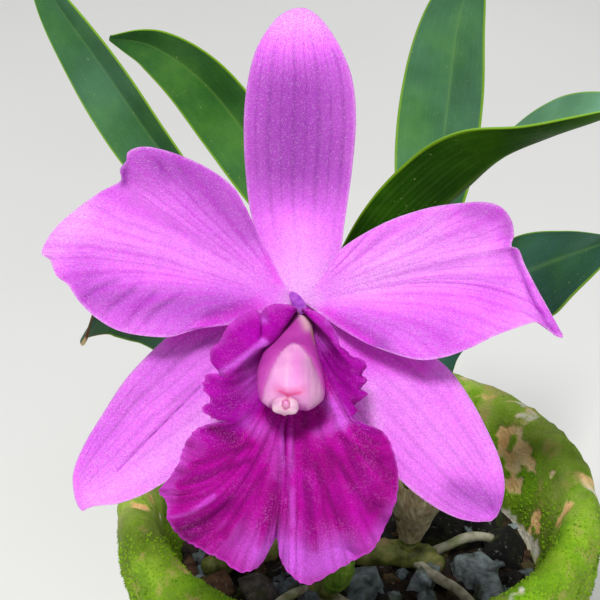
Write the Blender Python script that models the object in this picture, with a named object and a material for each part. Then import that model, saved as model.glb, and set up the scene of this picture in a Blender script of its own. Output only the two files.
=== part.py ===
"""A cattleya orchid in bloom, growing in its old clay pot.

The plant creeps over the potting mix on a rhizome, which carries pseudobulbs with one leathery
leaf each. The newest pseudobulb holds one open flower: three sepals, two broad petals, and a lip
that folds round the column. Lengths in this file are millimetres, and solid() turns them into metres.
"""

import math
import random

import bmesh
import bpy
from mathutils import Matrix, Vector, noise

for old in list(bpy.data.objects):
    bpy.data.objects.remove(old)

# Driving dimensions of the pot and of what fills it
MM = 0.001
GAP = 0.3
POT_HEIGHT = 95.0
RIM_RADIUS = 61.0
RIM_HEIGHT = 22.0
RIM_WALL = 9.0
FOOT_RADIUS = 42.0
WALL = 7.0
DRAIN_COUNT = 3
DRAIN_RADIUS = 5.0
DRAIN_FROM_AXIS = 22.0
POT_SIDES = 36
MIX_LEVEL = 69.0
MIX_SIDES = 26
MIX_CIRCLES = 4
CHIP_COUNT = 30
CHIP_SEED = 11

# Driving dimensions of the flower and of its stalk
SIGHT_DISTANCE = 450.0
BLOOM_TILT = math.radians(32.0)
HUB = Vector((-15.0, -78.0, 200.0))
HUB_RADIUS = 3.4
CLAW_RADIUS = 3.72
PETAL_THICKNESS = 0.7
OVARY_RADIUS = 1.8
PEDUNCLE_RADIUS = 1.5
LEAF_THICKNESS = 1.6
RHIZOME_RADIUS = 3.8
ROOT_RADIUS = 1.3

# The flower's own directions: across it, up its face, and out of its face
ACROSS = Vector((1.0, 0.0, 0.0))
UPWARD = Vector((0.0, math.sin(BLOOM_TILT), math.cos(BLOOM_TILT)))
FACING = Vector((0.0, -math.cos(BLOOM_TILT), math.sin(BLOOM_TILT)))


def place(across, up, out):
    """A point given in the flower's own directions, measured from its hub."""
    return HUB + ACROSS * across + UPWARD * up + FACING * out


def seen(across, up, out):
    """A point on the line of sight that crosses the flower's plane at (across, up)."""
    nearer = 1.0 - out / SIGHT_DISTANCE
    return place(across * nearer, up * nearer, out)


def finish(name, colour, roughness):
    """A plain finish of its own for one sub-part."""
    material = bpy.data.materials.new(name)
    material.use_nodes = True
    shader = material.node_tree.nodes["Principled BSDF"]
    shader.inputs["Base Color"].default_value = (*colour, 1.0)
    shader.inputs["Roughness"].default_value = roughness
    shader.inputs["Metallic"].default_value = 0.0
    return material


def solid(name, points, faces, colour, roughness=0.6, crease=math.radians(50)):
    """One closed body from points in millimetres, with its faces turned outwards."""
    mesh = bpy.data.meshes.new(name)
    mesh.from_pydata([Vector(p) * MM for p in points], [], faces)
    work = bmesh.new()
    work.from_mesh(mesh)
    if work.calc_volume(signed=True) < 0.0:
        bmesh.ops.reverse_faces(work, faces=work.faces)
    work.to_mesh(mesh)
    work.free()
    mesh.shade_smooth()
    mesh.set_sharp_from_angle(angle=crease)
    thing = bpy.data.objects.new(name, mesh)
    bpy.context.scene.collection.objects.link(thing)
    mesh.materials.append(finish(name, colour, roughness))
    return thing


def drop(things):
    for thing in things:
        bpy.data.objects.remove(thing)


def carve(target, cutters, operation, solver="EXACT"):
    """Joins the cutters to the target, or cuts them out of it, in one Boolean."""
    group = bpy.data.collections.new("cutters")
    bpy.context.scene.collection.children.link(group)
    for cutter in cutters:
        bpy.context.scene.collection.objects.unlink(cutter)
        group.objects.link(cutter)
    step = target.modifiers.new("carve", "BOOLEAN")
    step.operation = operation
    step.operand_type = "COLLECTION"
    step.collection = group
    step.solver = solver
    graph = bpy.context.evaluated_depsgraph_get()
    mesh = bpy.data.meshes.new_from_object(target.evaluated_get(graph))
    target.modifiers.clear()
    target.data = mesh
    drop(cutters)
    bpy.data.collections.remove(group)


def drop_scraps(thing):
    """Keeps the largest connected body of a mesh, where a cut has left loose crumbs."""
    work = bmesh.new()
    work.from_mesh(thing.data)
    left = set(work.verts)
    bodies = []
    while left:
        body = []
        front = [left.pop()]
        while front:
            vert = front.pop()
            body.append(vert)
            for edge in vert.link_edges:
                other = edge.other_vert(vert)
                if other in left:
                    left.remove(other)
                    front.append(other)
        bodies.append(body)
    bodies.sort(key=len)
    for body in bodies[:-1]:
        bmesh.ops.delete(work, geom=body, context="VERTS")
    work.to_mesh(thing.data)
    work.free()


def spline(points, count):
    """Rows of numbers read at even steps along a smooth curve through the given rows."""
    rows = []
    last = len(points) - 1
    for k in range(count):
        at = last * k / (count - 1)
        i = min(int(at), last - 1)
        t = at - i
        around = (points[max(i - 1, 0)], points[i], points[i + 1], points[min(i + 2, last)])
        row = []
        for a, b, c, d in zip(*around):
            bend = 2 * a - 5 * b + 4 * c - d
            twist = 3 * b - a - 3 * c + d
            row.append(0.5 * (2 * b + (c - a) * t + bend * t**2 + twist * t**3))
        rows.append(row)
    return rows


def grid_normals(grid):
    rows = len(grid)
    cols = len(grid[0])
    normals = []
    for i in range(rows):
        line = []
        for j in range(cols):
            along = grid[min(i + 1, rows - 1)][j] - grid[max(i - 1, 0)][j]
            beside = grid[i][min(j + 1, cols - 1)] - grid[i][max(j - 1, 0)]
            line.append(along.cross(beside).normalized())
        normals.append(line)
    return normals


def blade(name, grid, thickness, colour, roughness=0.5):
    """A thin closed body on both sides of a grid of points, split alike on its two faces."""
    rows = len(grid)
    cols = len(grid[0])
    normals = grid_normals(grid)
    half = thickness / 2
    points = [grid[i][j] + normals[i][j] * half for i in range(rows) for j in range(cols)]
    points += [grid[i][j] - normals[i][j] * half for i in range(rows) for j in range(cols)]
    under = rows * cols
    faces = []
    for i in range(rows - 1):
        for j in range(cols - 1):
            a = i * cols + j
            b = a + cols
            faces += [(a, b, b + 1), (a, b + 1, a + 1)]
            faces += [(under + a, under + b + 1, under + b), (under + a, under + a + 1, under + b + 1)]
    rim = [j for j in range(cols)]
    rim += [i * cols + cols - 1 for i in range(1, rows)]
    rim += [(rows - 1) * cols + j for j in range(cols - 2, -1, -1)]
    rim += [i * cols for i in range(rows - 2, 0, -1)]
    for k, a in enumerate(rim):
        b = rim[(k + 1) % len(rim)]
        faces += [(a, b, under + b), (a, under + b, under + a)]
    return solid(name, points, faces, colour, roughness)


def rings(path):
    """Two directions square to the path at each of its points, carried along without twist."""
    frames = []
    side = None
    for k, point in enumerate(path):
        ahead = (path[min(k + 1, len(path) - 1)] - path[max(k - 1, 0)]).normalized()
        if side is None:
            side = ahead.orthogonal()
        side = (side - ahead * side.dot(ahead)).normalized()
        frames.append((side, ahead.cross(side)))
    return frames


def lofted(name, ring_list, colour, roughness=0.45):
    """A closed body through a list of rings with equal counts of points."""
    sides = len(ring_list[0])
    points = [p for ring in ring_list for p in ring]
    faces = []
    for i in range(len(ring_list) - 1):
        for k in range(sides):
            a = i * sides + k
            b = i * sides + (k + 1) % sides
            faces += [(a, b, b + sides), (a, b + sides, a + sides)]
    faces.append(tuple(range(sides - 1, -1, -1)))
    faces.append(tuple(range((len(ring_list) - 1) * sides, len(ring_list) * sides)))
    return solid(name, points, faces, colour, roughness)


def circle(centre, side, other, radius, sides):
    turns = [math.tau * k / sides for k in range(sides)]
    return [centre + (side * math.cos(turn) + other * math.sin(turn)) * radius for turn in turns]


def tube(name, path, radii, sides, colour, roughness=0.6):
    """A round stem with flat ends along a path, with one radius for each point."""
    ring_list = []
    for centre, radius, (side, other) in zip(path, radii, rings(path)):
        ring_list.append(circle(centre, side, other, radius, sides))
    return lofted(name, ring_list, colour, roughness)


def turned(name, profile, sides, colour, roughness=0.8):
    """A body turned round the upright axis. Its profile starts and ends on the axis."""
    points = [(0.0, 0.0, profile[0][1])]
    for radius, height in profile[1:-1]:
        for k in range(sides):
            turn = math.tau * k / sides
            points.append((radius * math.cos(turn), radius * math.sin(turn), height))
    points.append((0.0, 0.0, profile[-1][1]))
    faces = []
    circles = len(profile) - 2
    for k in range(sides):
        n = (k + 1) % sides
        faces.append((0, 1 + n, 1 + k))
        top = 1 + (circles - 1) * sides
        faces.append((len(points) - 1, top + k, top + n))
        for i in range(circles - 1):
            a = 1 + i * sides
            faces.append((a + k, a + n, a + sides + n, a + sides + k))
    return solid(name, points, faces, colour, roughness, math.radians(35))


def inner_radius(height):
    """The pot's inside radius at a height above its floor."""
    up = (height - WALL) / (POT_HEIGHT - WALL)
    return (FOOT_RADIUS - WALL) * (1 - up) + (RIM_RADIUS - RIM_WALL) * up


def make_pot():
    """The thrown clay pot: a tapered wall, a thick band at the rim, and three drain holes."""
    band = POT_HEIGHT - RIM_HEIGHT
    wall_at_band = inner_radius(band) + WALL - 1.0
    mouth = RIM_RADIUS - RIM_WALL
    profile = [
        (0, 0), (FOOT_RADIUS - 1.2, 0), (FOOT_RADIUS, 1.2), (wall_at_band, band - 1.0),
        (RIM_RADIUS - 2.0, band), (RIM_RADIUS - 0.6, band + 1.6), (RIM_RADIUS, POT_HEIGHT - 6.0),
        (RIM_RADIUS - 0.8, POT_HEIGHT - 2.0), (RIM_RADIUS - 3.0, POT_HEIGHT), (mouth + 2.6, POT_HEIGHT),
        (mouth + 0.6, POT_HEIGHT - 2.4), (inner_radius(POT_HEIGHT - 8.0), POT_HEIGHT - 8.0),
        (inner_radius(WALL + 2.0), WALL + 2.0), (FOOT_RADIUS - WALL - 3.0, WALL), (0, WALL),
    ]
    pot = turned("pot", profile, POT_SIDES, (0.30, 0.33, 0.12))
    drains = []
    for k in range(DRAIN_COUNT):
        turn = math.tau * (k + 0.25) / DRAIN_COUNT
        centre = Vector((DRAIN_FROM_AXIS * math.cos(turn), DRAIN_FROM_AXIS * math.sin(turn), 0.0))
        ends = [centre + Vector((0, 0, -2.0)), centre + Vector((0, 0, WALL + 2.0))]
        drains.append(tube("drain", ends, [DRAIN_RADIUS] * 2, 12, (0.3, 0.2, 0.1)))
    carve(pot, drains, "DIFFERENCE")


def mix_height(x, y):
    """The uneven top of the potting mix, a little higher in the middle."""
    mound = 6.0 * max(0.0, 1.0 - (x * x + y * y) / 2600.0)
    return MIX_LEVEL + mound + 1.4 * noise.noise(Vector((x, y, 3.0)) / 11.0)


def make_chip(place_at, size, draw):
    """One chip of bark, charcoal or stone: a block with its corners pushed about."""
    turn = Matrix.Rotation(draw.uniform(0, math.tau), 3, "Z")
    turn = turn @ Matrix.Rotation(draw.uniform(-0.6, 0.6), 3, "X")
    half = Vector((size, size * draw.uniform(0.55, 0.9), size * draw.uniform(0.45, 0.7)))
    corners = []
    for z, inset in ((-1, 1.0), (1, 0.7)):
        for x, y in ((-1, -1), (1, -1), (1, 1), (-1, 1)):
            corner = Vector((x * half.x * inset, y * half.y * inset, z * half.z))
            corner *= draw.uniform(0.8, 1.1)
            corners.append(place_at + turn @ corner)
    quads = [(0, 3, 2, 1), (4, 5, 6, 7), (0, 1, 5, 4), (1, 2, 6, 5), (2, 3, 7, 6), (3, 0, 4, 7)]
    faces = []
    for a, b, c, d in quads:
        faces += [(a, b, c), (a, c, d)]
    return solid("chip", corners, faces, (0.1, 0.1, 0.1))


def make_mix(holes):
    """The potting mix: a plug that follows the pot's inside, with chips standing out of its top."""
    sides = MIX_SIDES
    circles = MIX_CIRCLES
    edge = inner_radius(MIX_LEVEL) - GAP - 0.2
    foot = WALL + GAP + 0.2
    turns = [math.tau * k / sides for k in range(sides)]
    points = [(0, 0, foot)]
    radii = [FOOT_RADIUS - WALL - 4.0, inner_radius(foot + 3.0) - GAP - 0.4]
    heights = [foot, foot + 3.0]
    for radius, height in zip(radii, heights):
        points += [(radius * math.cos(turn), radius * math.sin(turn), height) for turn in turns]
    for i in range(circles):
        radius = edge * (circles - i) / circles
        for turn in turns:
            x = radius * math.cos(turn)
            y = radius * math.sin(turn)
            points.append((x, y, MIX_LEVEL - 1.0 if i == 0 else mix_height(x, y)))
    points.append((0, 0, mix_height(0, 0)))
    faces = []
    for k in range(sides):
        n = (k + 1) % sides
        faces.append((0, 1 + n, 1 + k))
        for i in range(circles + 1):
            a = 1 + i * sides
            faces += [(a + k, a + n, a + sides + n), (a + k, a + sides + n, a + sides + k)]
        top = 1 + (circles + 1) * sides
        faces.append((len(points) - 1, top + k, top + n))
    mix = solid("potting_mix", points, faces, (0.06, 0.07, 0.06), 0.9)
    draw = random.Random(CHIP_SEED)
    chips = []
    golden = math.pi * (3.0 - math.sqrt(5.0))
    for k in range(CHIP_COUNT):
        size = draw.uniform(4.0, 6.6)
        radius = min((edge - 1.0) * math.sqrt((k + 0.6) / CHIP_COUNT), edge - size * 1.5)
        x = radius * math.cos(golden * k)
        y = radius * math.sin(golden * k)
        chips.append(make_chip(Vector((x, y, mix_height(x, y) + draw.uniform(-0.6, 1.2))), size, draw))
    carve(mix, chips, "UNION")
    carve(mix, holes, "DIFFERENCE")
    drop_scraps(mix)


# Each pseudobulb: its foot, its top, its widest radius and the radius of its top
BULBS = {
    1: (Vector((-10.0, -13.0, 82.0)), Vector((-8.0, -27.0, 150.0)), 7.6, 5.4),
    2: (Vector((13.0, -3.0, 81.0)), Vector((18.0, -12.0, 138.0)), 7.2, 3.9),
    3: (Vector((-32.0, -3.0, 80.5)), Vector((-38.0, -13.0, 135.0)), 7.0, 3.9),
    4: (Vector((-15.0, 12.0, 81.0)), Vector((-24.0, 15.0, 137.0)), 7.4, 3.9),
    5: (Vector((12.0, 20.0, 80.5)), Vector((17.5, 26.0, 130.0)), 6.8, 3.9),
    6: (Vector((-5.0, 37.0, 80.6)), Vector((-11.0, 45.0, 119.0)), 6.4, 3.7),
}

# Shares of a pseudobulb's widest radius at places up it
BULB_PROFILE = (
    (0.0, 0.36), (0.06, 0.42), (0.18, 0.62), (0.34, 0.88), (0.5, 1.0), (0.66, 0.98),
    (0.8, 0.84), (0.91, 0.66),
)
BULB_BOW = Vector((0.0, -2.2, 0.33))

# The young shoot at the front of the creeping stem: its foot, its top and its radius
SHOOT = (Vector((-7.0, -21.5, 80.6)), Vector((-2.5, -26.5, 96.0)), 2.4)
NECK_RADIUS = 3.0
NECK_LENGTH = 7.0

# The creeping stem's runs, each through the feet of the pseudobulbs that it bears
RUNS = (
    ((-5, 46, 74.5), (-4, 37, 75.5), (2, 26, 76.0), (-8, 16, 76.5), (-14, 6, 76.5), (-10, -13, 76.5),
     (-9, -21, 75.5)),
    ((-13, 5, 76.3), (-22, 0, 76.0), (-32, -3, 75.5), (-38, -6, 74.5)),
    ((-11, -2, 76.3), (0, -3, 76.5), (13, -3, 76.0), (20, -6, 75.0)),
    ((1, 25, 75.8), (7, 22, 75.6), (12, 20, 75.4), (18, 18, 74.5)),
)

# Roots start in the creeping stem, run over the mix and dive into it
ROOTS = (
    ((-9, -17, 75), (-4, -24, 77.5), (2, -30, 76.5), (5, -35, 71), (6, -37, 62)),
    ((-11, -16, 75), (-18, -21, 77), (-23, -26, 75), (-26, -30, 69), (-27, -31, 61)),
    ((14, -4, 75), (20, -14, 77), (26, -19, 76), (31, -22, 70), (32, -23, 61)),
    ((17, -3, 75), (26, 2, 76.5), (34, 6, 74.5), (38, 8, 69), (39, 9, 61)),
    ((-33, -4, 75), (-37, 3, 76), (-38, 9, 74.0), (-37, 14, 69), (-36, 17, 61)),
    ((-14, 11, 75), (-22, 16, 77), (-27, 22, 75), (-30, 26, 69), (-30, 28, 61)),
    ((4, 24, 75), (12, 31, 77), (17, 35, 74.0), (20, 37, 69), (20, 38, 61)),
)


def stem_pieces(extra):
    """The creeping stem, its stubs and its roots as loose tubes, swollen by extra."""
    pieces = []
    colour = (0.35, 0.36, 0.18)
    for run in RUNS:
        path = [Vector(p) for p in spline(run, 2 * len(run) - 1)]
        radii = [RHIZOME_RADIUS + extra] * len(path)
        radii[0] -= 0.8
        radii[-1] -= 1.2
        pieces.append(tube("run", path, radii, 8, colour))
    necks = [(foot, top, NECK_RADIUS) for foot, top, _, _ in BULBS.values()] + [SHOOT]
    for foot, top, radius in necks:
        axis = (top - foot).normalized()
        head = foot - axis * GAP
        path = [head - axis * NECK_LENGTH, head - axis * 2.0, head + axis * extra]
        radii = [radius + extra, radius + extra, radius - 0.4 + extra]
        pieces.append(tube("neck", path, radii, 7, colour))
    for root in ROOTS:
        path = [Vector(p) for p in spline(root, 8)]
        pieces.append(tube("root", path, [ROOT_RADIUS + extra] * len(path), 6, colour))
    return pieces


def make_rhizome():
    pieces = stem_pieces(0.0)
    body = pieces[0]
    body.name = "rhizome_and_roots"
    carve(body, pieces[1:], "UNION")
    body.data.name = "rhizome_and_roots"


def make_pseudobulb(number):
    """A spindle-shaped stem that stores water, narrow at its foot and flat where the leaf sits."""
    foot, top, widest, head = BULBS[number]
    axis = top - foot
    path = []
    radii = []
    for up, share in BULB_PROFILE:
        path.append(foot + axis * up + BULB_BOW * math.sin(math.pi * up) ** 2)
        radii.append(max(widest * share, head if up > 0.85 else 0.0))
    path.append(top)
    radii.append(head)
    tube(f"pseudobulb_{number}", path, radii, 14, (0.30, 0.38, 0.12), 0.5)


def make_shoot():
    """The young growth: a short pointed shoot wrapped in its own first leaf."""
    foot, top, radius = SHOOT
    path = []
    radii = []
    for up, share in ((0.0, 0.85), (0.2, 1.15), (0.45, 1.3), (0.7, 1.05), (0.9, 0.6), (1.0, 0.25)):
        path.append(foot.lerp(top, up) + Vector((0.0, -0.8, 0.0)) * math.sin(math.pi * up))
        radii.append(radius * share)
    tube("young_shoot", path, radii, 9, (0.22, 0.40, 0.10), 0.5)


# Shares of a leaf's full width at places along it, and how much more its foot is folded
LEAF_SHAPE = (
    (0.0, 0.33), (0.07, 0.36), (0.2, 0.62), (0.33, 0.88), (0.48, 1.0), (0.66, 0.95), (0.82, 0.72),
    (0.93, 0.42), (1.0, 0.08),
)
FOOT_FOLD = 26.0
LEAF_ROWS = 15


def leaf_width(at):
    """The share of the full width at a place along the leaf, from its foot to its tip."""
    for (a, wide_a), (b, wide_b) in zip(LEAF_SHAPE, LEAF_SHAPE[1:]):
        if at <= b:
            t = (at - a) / (b - a)
            if b < 1.0:
                t = t * t * (3 - 2 * t)
            return wide_a + (wide_b - wide_a) * t
    return LEAF_SHAPE[-1][1]


def local(across, up, out):
    """A direction given in the flower's own directions."""
    return ACROSS * across + UPWARD * up + FACING * out


def make_leaf(number, offset, spine, width, side_foot, side_tip, fold_foot, fold_tip):
    """A stiff keeled leaf on its pseudobulb. Its spine's points are on lines of sight past the flower."""
    foot, top, _, _ = BULBS[number]
    axis = (top - foot).normalized()
    start = top + axis * (GAP + 0.1) + offset
    outer = [seen(*p) for p in spine]
    reach = outer[0] - start
    bend = start + (axis * 0.7 + reach.normalized() * 0.3).normalized() * reach.length * 0.48
    points = [tuple(start), tuple(bend)] + [tuple(p) for p in outer]
    keel = [Vector(p) for p in spline(points, LEAF_ROWS)]
    lengths = [0.0]
    for a, b in zip(keel, keel[1:]):
        lengths.append(lengths[-1] + (b - a).length)
    grid = []
    for k, point in enumerate(keel):
        at = lengths[k] / lengths[-1]
        ahead = (keel[min(k + 1, len(keel) - 1)] - keel[max(k - 1, 0)]).normalized()
        if k == 0:
            ahead = axis
        side = local(*side_foot).lerp(local(*side_tip), at)
        side = (side - ahead * side.dot(ahead)).normalized()
        up = side.cross(ahead).normalized()
        fold = math.radians(fold_foot * (1 - at) + fold_tip * at + FOOT_FOLD * (1 - at) ** 5)
        half = width / 2 * leaf_width(at)
        row = []
        for share in (1.0, 0.52, 0.0, -0.52, -1.0):
            out = side * math.copysign(1.0, share) * math.cos(fold) * abs(share)
            rise = up * math.sin(fold) * (abs(share) ** 1.35)
            row.append(point + (out + rise) * half)
        grid.append(row)
    blade(f"leaf_{number}", grid, LEAF_THICKNESS, (0.06, 0.17, 0.06), 0.4)


def rib_surface(foot_points, margin, middle, steps):
    """Ribs from the foot of a petal, each through its middle point, out to the margin."""
    grid = [[] for _ in range(steps + 1)]
    for foot, edge, mid in zip(foot_points, margin, middle):
        bend = mid * 2 - (foot + edge) * 0.5
        for i in range(steps + 1):
            r = i / steps
            point = foot * (1 - r) ** 2 + bend * 2 * r * (1 - r) + edge * r * r
            grid[i].append(point)
    return grid


def on_circle(radius, turn, out, centre=(0.0, 0.0)):
    return Vector((centre[0] + radius * math.cos(turn), centre[1] + radius * math.sin(turn), out))


def arc(radius, start, end, count, out):
    """Points on a circle in the flower's plane, given as the eye sees them."""
    points = []
    for k in range(count):
        turn = math.radians(start + (end - start) * k / (count - 1))
        points.append(on_circle(radius, turn, out))
    return points


# Ribs of each petal in turn from its upper to its lower edge: the place of the rib's end in
# millimetres across and up the flower, how far it stands out, how far the rib's middle is
# lifted off the straight line, and how far its middle stands out
LEFT_PETAL = (
    (-10.8, 18.4, 4.6, 0.4, 0.2), (-13.2, 22.4, 5.5, 0.3, 0.0), (-17.4, 25.8, 6.5, 0.2, -0.2),
    (-22.6, 28.4, 7.5, 0.1, -0.5), (-28.4, 30.3, 8.0, 0.1, -0.5), (-32.0, 30.6, 8.0, 0.3, -0.4),
    (-34.4, 29.6, 7.5, 0.6, -0.2), (-34.8, 27.8, 7.0, 0.9, 0.0), (-36.0, 26.2, 6.0, 1.2, 0.0),
    (-36.0, 23.8, 4.5, 1.6, 0.3), (-40.0, 21.6, 3.6, 2.0, 0.5), (-45.0, 18.0, 2.7, 2.4, 0.8),
    (-49.0, 14.4, 1.9, 2.8, 1.0), (-51.2, 11.0, 1.2, 3.0, 1.0), (-51.6, 9.2, 0.9, 3.1, 1.0),
    (-50.0, 8.0, 0.6, 3.1, 1.0), (-48.8, 5.0, 0.2, 3.4, 1.0), (-46.4, 3.0, 0.6, 3.7, 1.0),
    (-44.4, 0.0, 1.2, 4.0, 0.9), (-41.0, -3.4, 1.9, 4.3, 0.8), (-36.6, -6.0, 2.3, 4.4, 0.8),
    (-31.0, -7.2, 2.6, 4.0, 0.7), (-25.6, -7.3, 2.8, 3.1, 0.6), (-20.6, -5.4, 2.7, 1.3, 0.4),
)
RIGHT_PETAL = (
    (10.4, 12.0, 3.4, 1.0, 0.2), (15.6, 14.8, 4.4, 0.6, 0.2), (20.0, 16.7, 5.0, 0.3, 0.2),
    (26.0, 18.5, 5.5, 0.1, 0.2), (32.4, 19.4, 5.2, 0.0, 0.5), (37.0, 19.6, 4.6, 0.1, 0.8),
    (40.2, 18.6, 3.6, 0.2, 1.0), (42.2, 16.2, 2.6, 0.5, 1.2), (42.8, 13.2, 1.8, 0.9, 1.2),
    (42.3, 10.8, 2.4, 1.3, 1.0), (43.8, 10.0, 1.2, 1.6, 1.2), (45.0, 7.0, 0.4, 2.2, 1.3),
    (47.0, 3.0, 0.0, 3.2, 1.3), (49.2, -1.0, -0.2, 4.6, 1.2), (51.4, -5.0, -0.2, 6.0, 1.0),
    (52.6, -7.4, 0.0, 6.6, 0.8), (51.0, -7.0, 1.2, 5.8, 0.6), (49.2, -5.4, 2.4, 4.6, 0.5),
    (47.2, -4.4, 3.2, 3.4, 0.5), (43.2, -5.6, 3.6, 2.8, 0.5), (39.0, -7.2, 4.0, 2.4, 0.5),
    (34.0, -9.6, 4.2, 2.2, 0.5), (29.0, -11.4, 4.2, 2.0, 0.5), (24.0, -12.0, 4.0, 1.7, 0.4),
    (19.0, -10.8, 3.6, 1.0, 0.3), (14.0, -9.0, 3.0, -0.3, 0.2),
)
PETAL_OUT = 0.8
PETAL_STEPS = 7
LIFT_LEAN = 0.85


def make_petal(name, ribs, start, end, hand):
    foot = arc(CLAW_RADIUS, start, end, len(ribs), PETAL_OUT)
    margin = [Vector(rib[:3]) for rib in ribs]
    middle = []
    for base, rib in zip(foot, ribs):
        shift = Vector((hand * LIFT_LEAN * rib[3], rib[3], rib[4]))
        middle.append((base + Vector(rib[:3])) * 0.5 + shift)
    grid = rib_surface(foot, margin, middle, PETAL_STEPS)
    blade(name, [[seen(*p) for p in row] for row in grid], PETAL_THICKNESS, (0.72, 0.16, 0.72))


# Rows of each sepal from its claw to its tip: one margin, the other margin, how far the row
# stands out, and how far its middle stands out of its two margins
DORSAL_SEPAL = (
    (-6.6, 8.0, 7.6, 8.0, -2.2, 0.4), (-9.6, 16.0, 9.0, 16.0, -3.0, 0.8),
    (-10.9, 26.0, 10.4, 26.0, -3.0, 1.2), (-11.2, 36.0, 11.2, 36.0, -1.8, 1.4),
    (-10.4, 44.0, 10.5, 44.0, -1.6, 1.3), (-8.8, 50.0, 8.3, 50.0, -2.4, 1.0),
    (-6.2, 54.5, 5.6, 54.5, -3.6, 0.7), (-3.6, 57.2, 3.1, 57.2, -4.6, 0.3),
    (-0.6, 58.4, 0.8, 58.4, -5.0, 0.0),
)
LEFT_SEPAL = (
    (-9.0, -0.8, -2.8, -9.5, -2.2, -0.2), (-16.0, -1.8, -6.8, -17.5, -3.2, -0.5),
    (-23.0, -4.6, -12.5, -26.0, -4.3, -0.9), (-29.4, -10.0, -19.0, -32.0, -5.2, -1.2),
    (-35.0, -16.0, -25.5, -35.6, -5.8, -1.3), (-39.6, -23.0, -31.4, -38.9, -6.2, -1.2),
    (-43.2, -29.0, -36.4, -40.7, -6.2, -0.9), (-45.3, -34.4, -40.4, -41.1, -5.6, -0.6),
    (-45.1, -39.0, -42.4, -41.6, -4.8, -0.2), (-44.0, -41.8, -43.4, -42.2, -4.2, 0.0),
)
RIGHT_SEPAL = (
    (9.0, -3.0, 3.2, -9.5, -2.2, 0.2), (16.0, -5.6, 7.0, -17.0, -3.2, 0.6),
    (23.0, -8.8, 11.5, -25.5, -4.3, 1.0), (29.5, -13.6, 16.4, -32.0, -5.2, 1.3),
    (34.2, -20.0, 21.4, -37.2, -5.8, 1.3), (37.6, -26.4, 26.4, -41.0, -6.4, 1.2),
    (40.0, -32.0, 31.0, -43.4, -6.8, 0.8), (40.9, -37.0, 34.8, -44.3, -7.0, 0.4),
    (40.2, -41.4, 37.0, -44.3, -6.6, 0.1), (38.9, -43.6, 38.2, -44.2, -6.0, 0.0),
)
SEPAL_OUT = -1.4
SEPAL_COLUMNS = 8
SEPAL_ROWS = 14


def make_sepal(name, rows, start, end):
    foot = arc(CLAW_RADIUS, start, end, SEPAL_COLUMNS + 1, SEPAL_OUT)
    table = [(foot[0].x, foot[0].y, foot[-1].x, foot[-1].y, SEPAL_OUT, 0.0)] + list(rows)
    grid = [foot]
    for row in spline(table, SEPAL_ROWS)[1:]:
        one = Vector((row[0], row[1], row[4]))
        other = Vector((row[2], row[3], row[4]))
        line = []
        for k in range(SEPAL_COLUMNS + 1):
            c = k / SEPAL_COLUMNS
            line.append(one.lerp(other, c) + Vector((0, 0, row[5] * 4 * c * (1 - c))))
        grid.append(line)
    blade(name, [[seen(*p) for p in row] for row in grid], PETAL_THICKNESS, (0.74, 0.18, 0.76))


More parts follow.
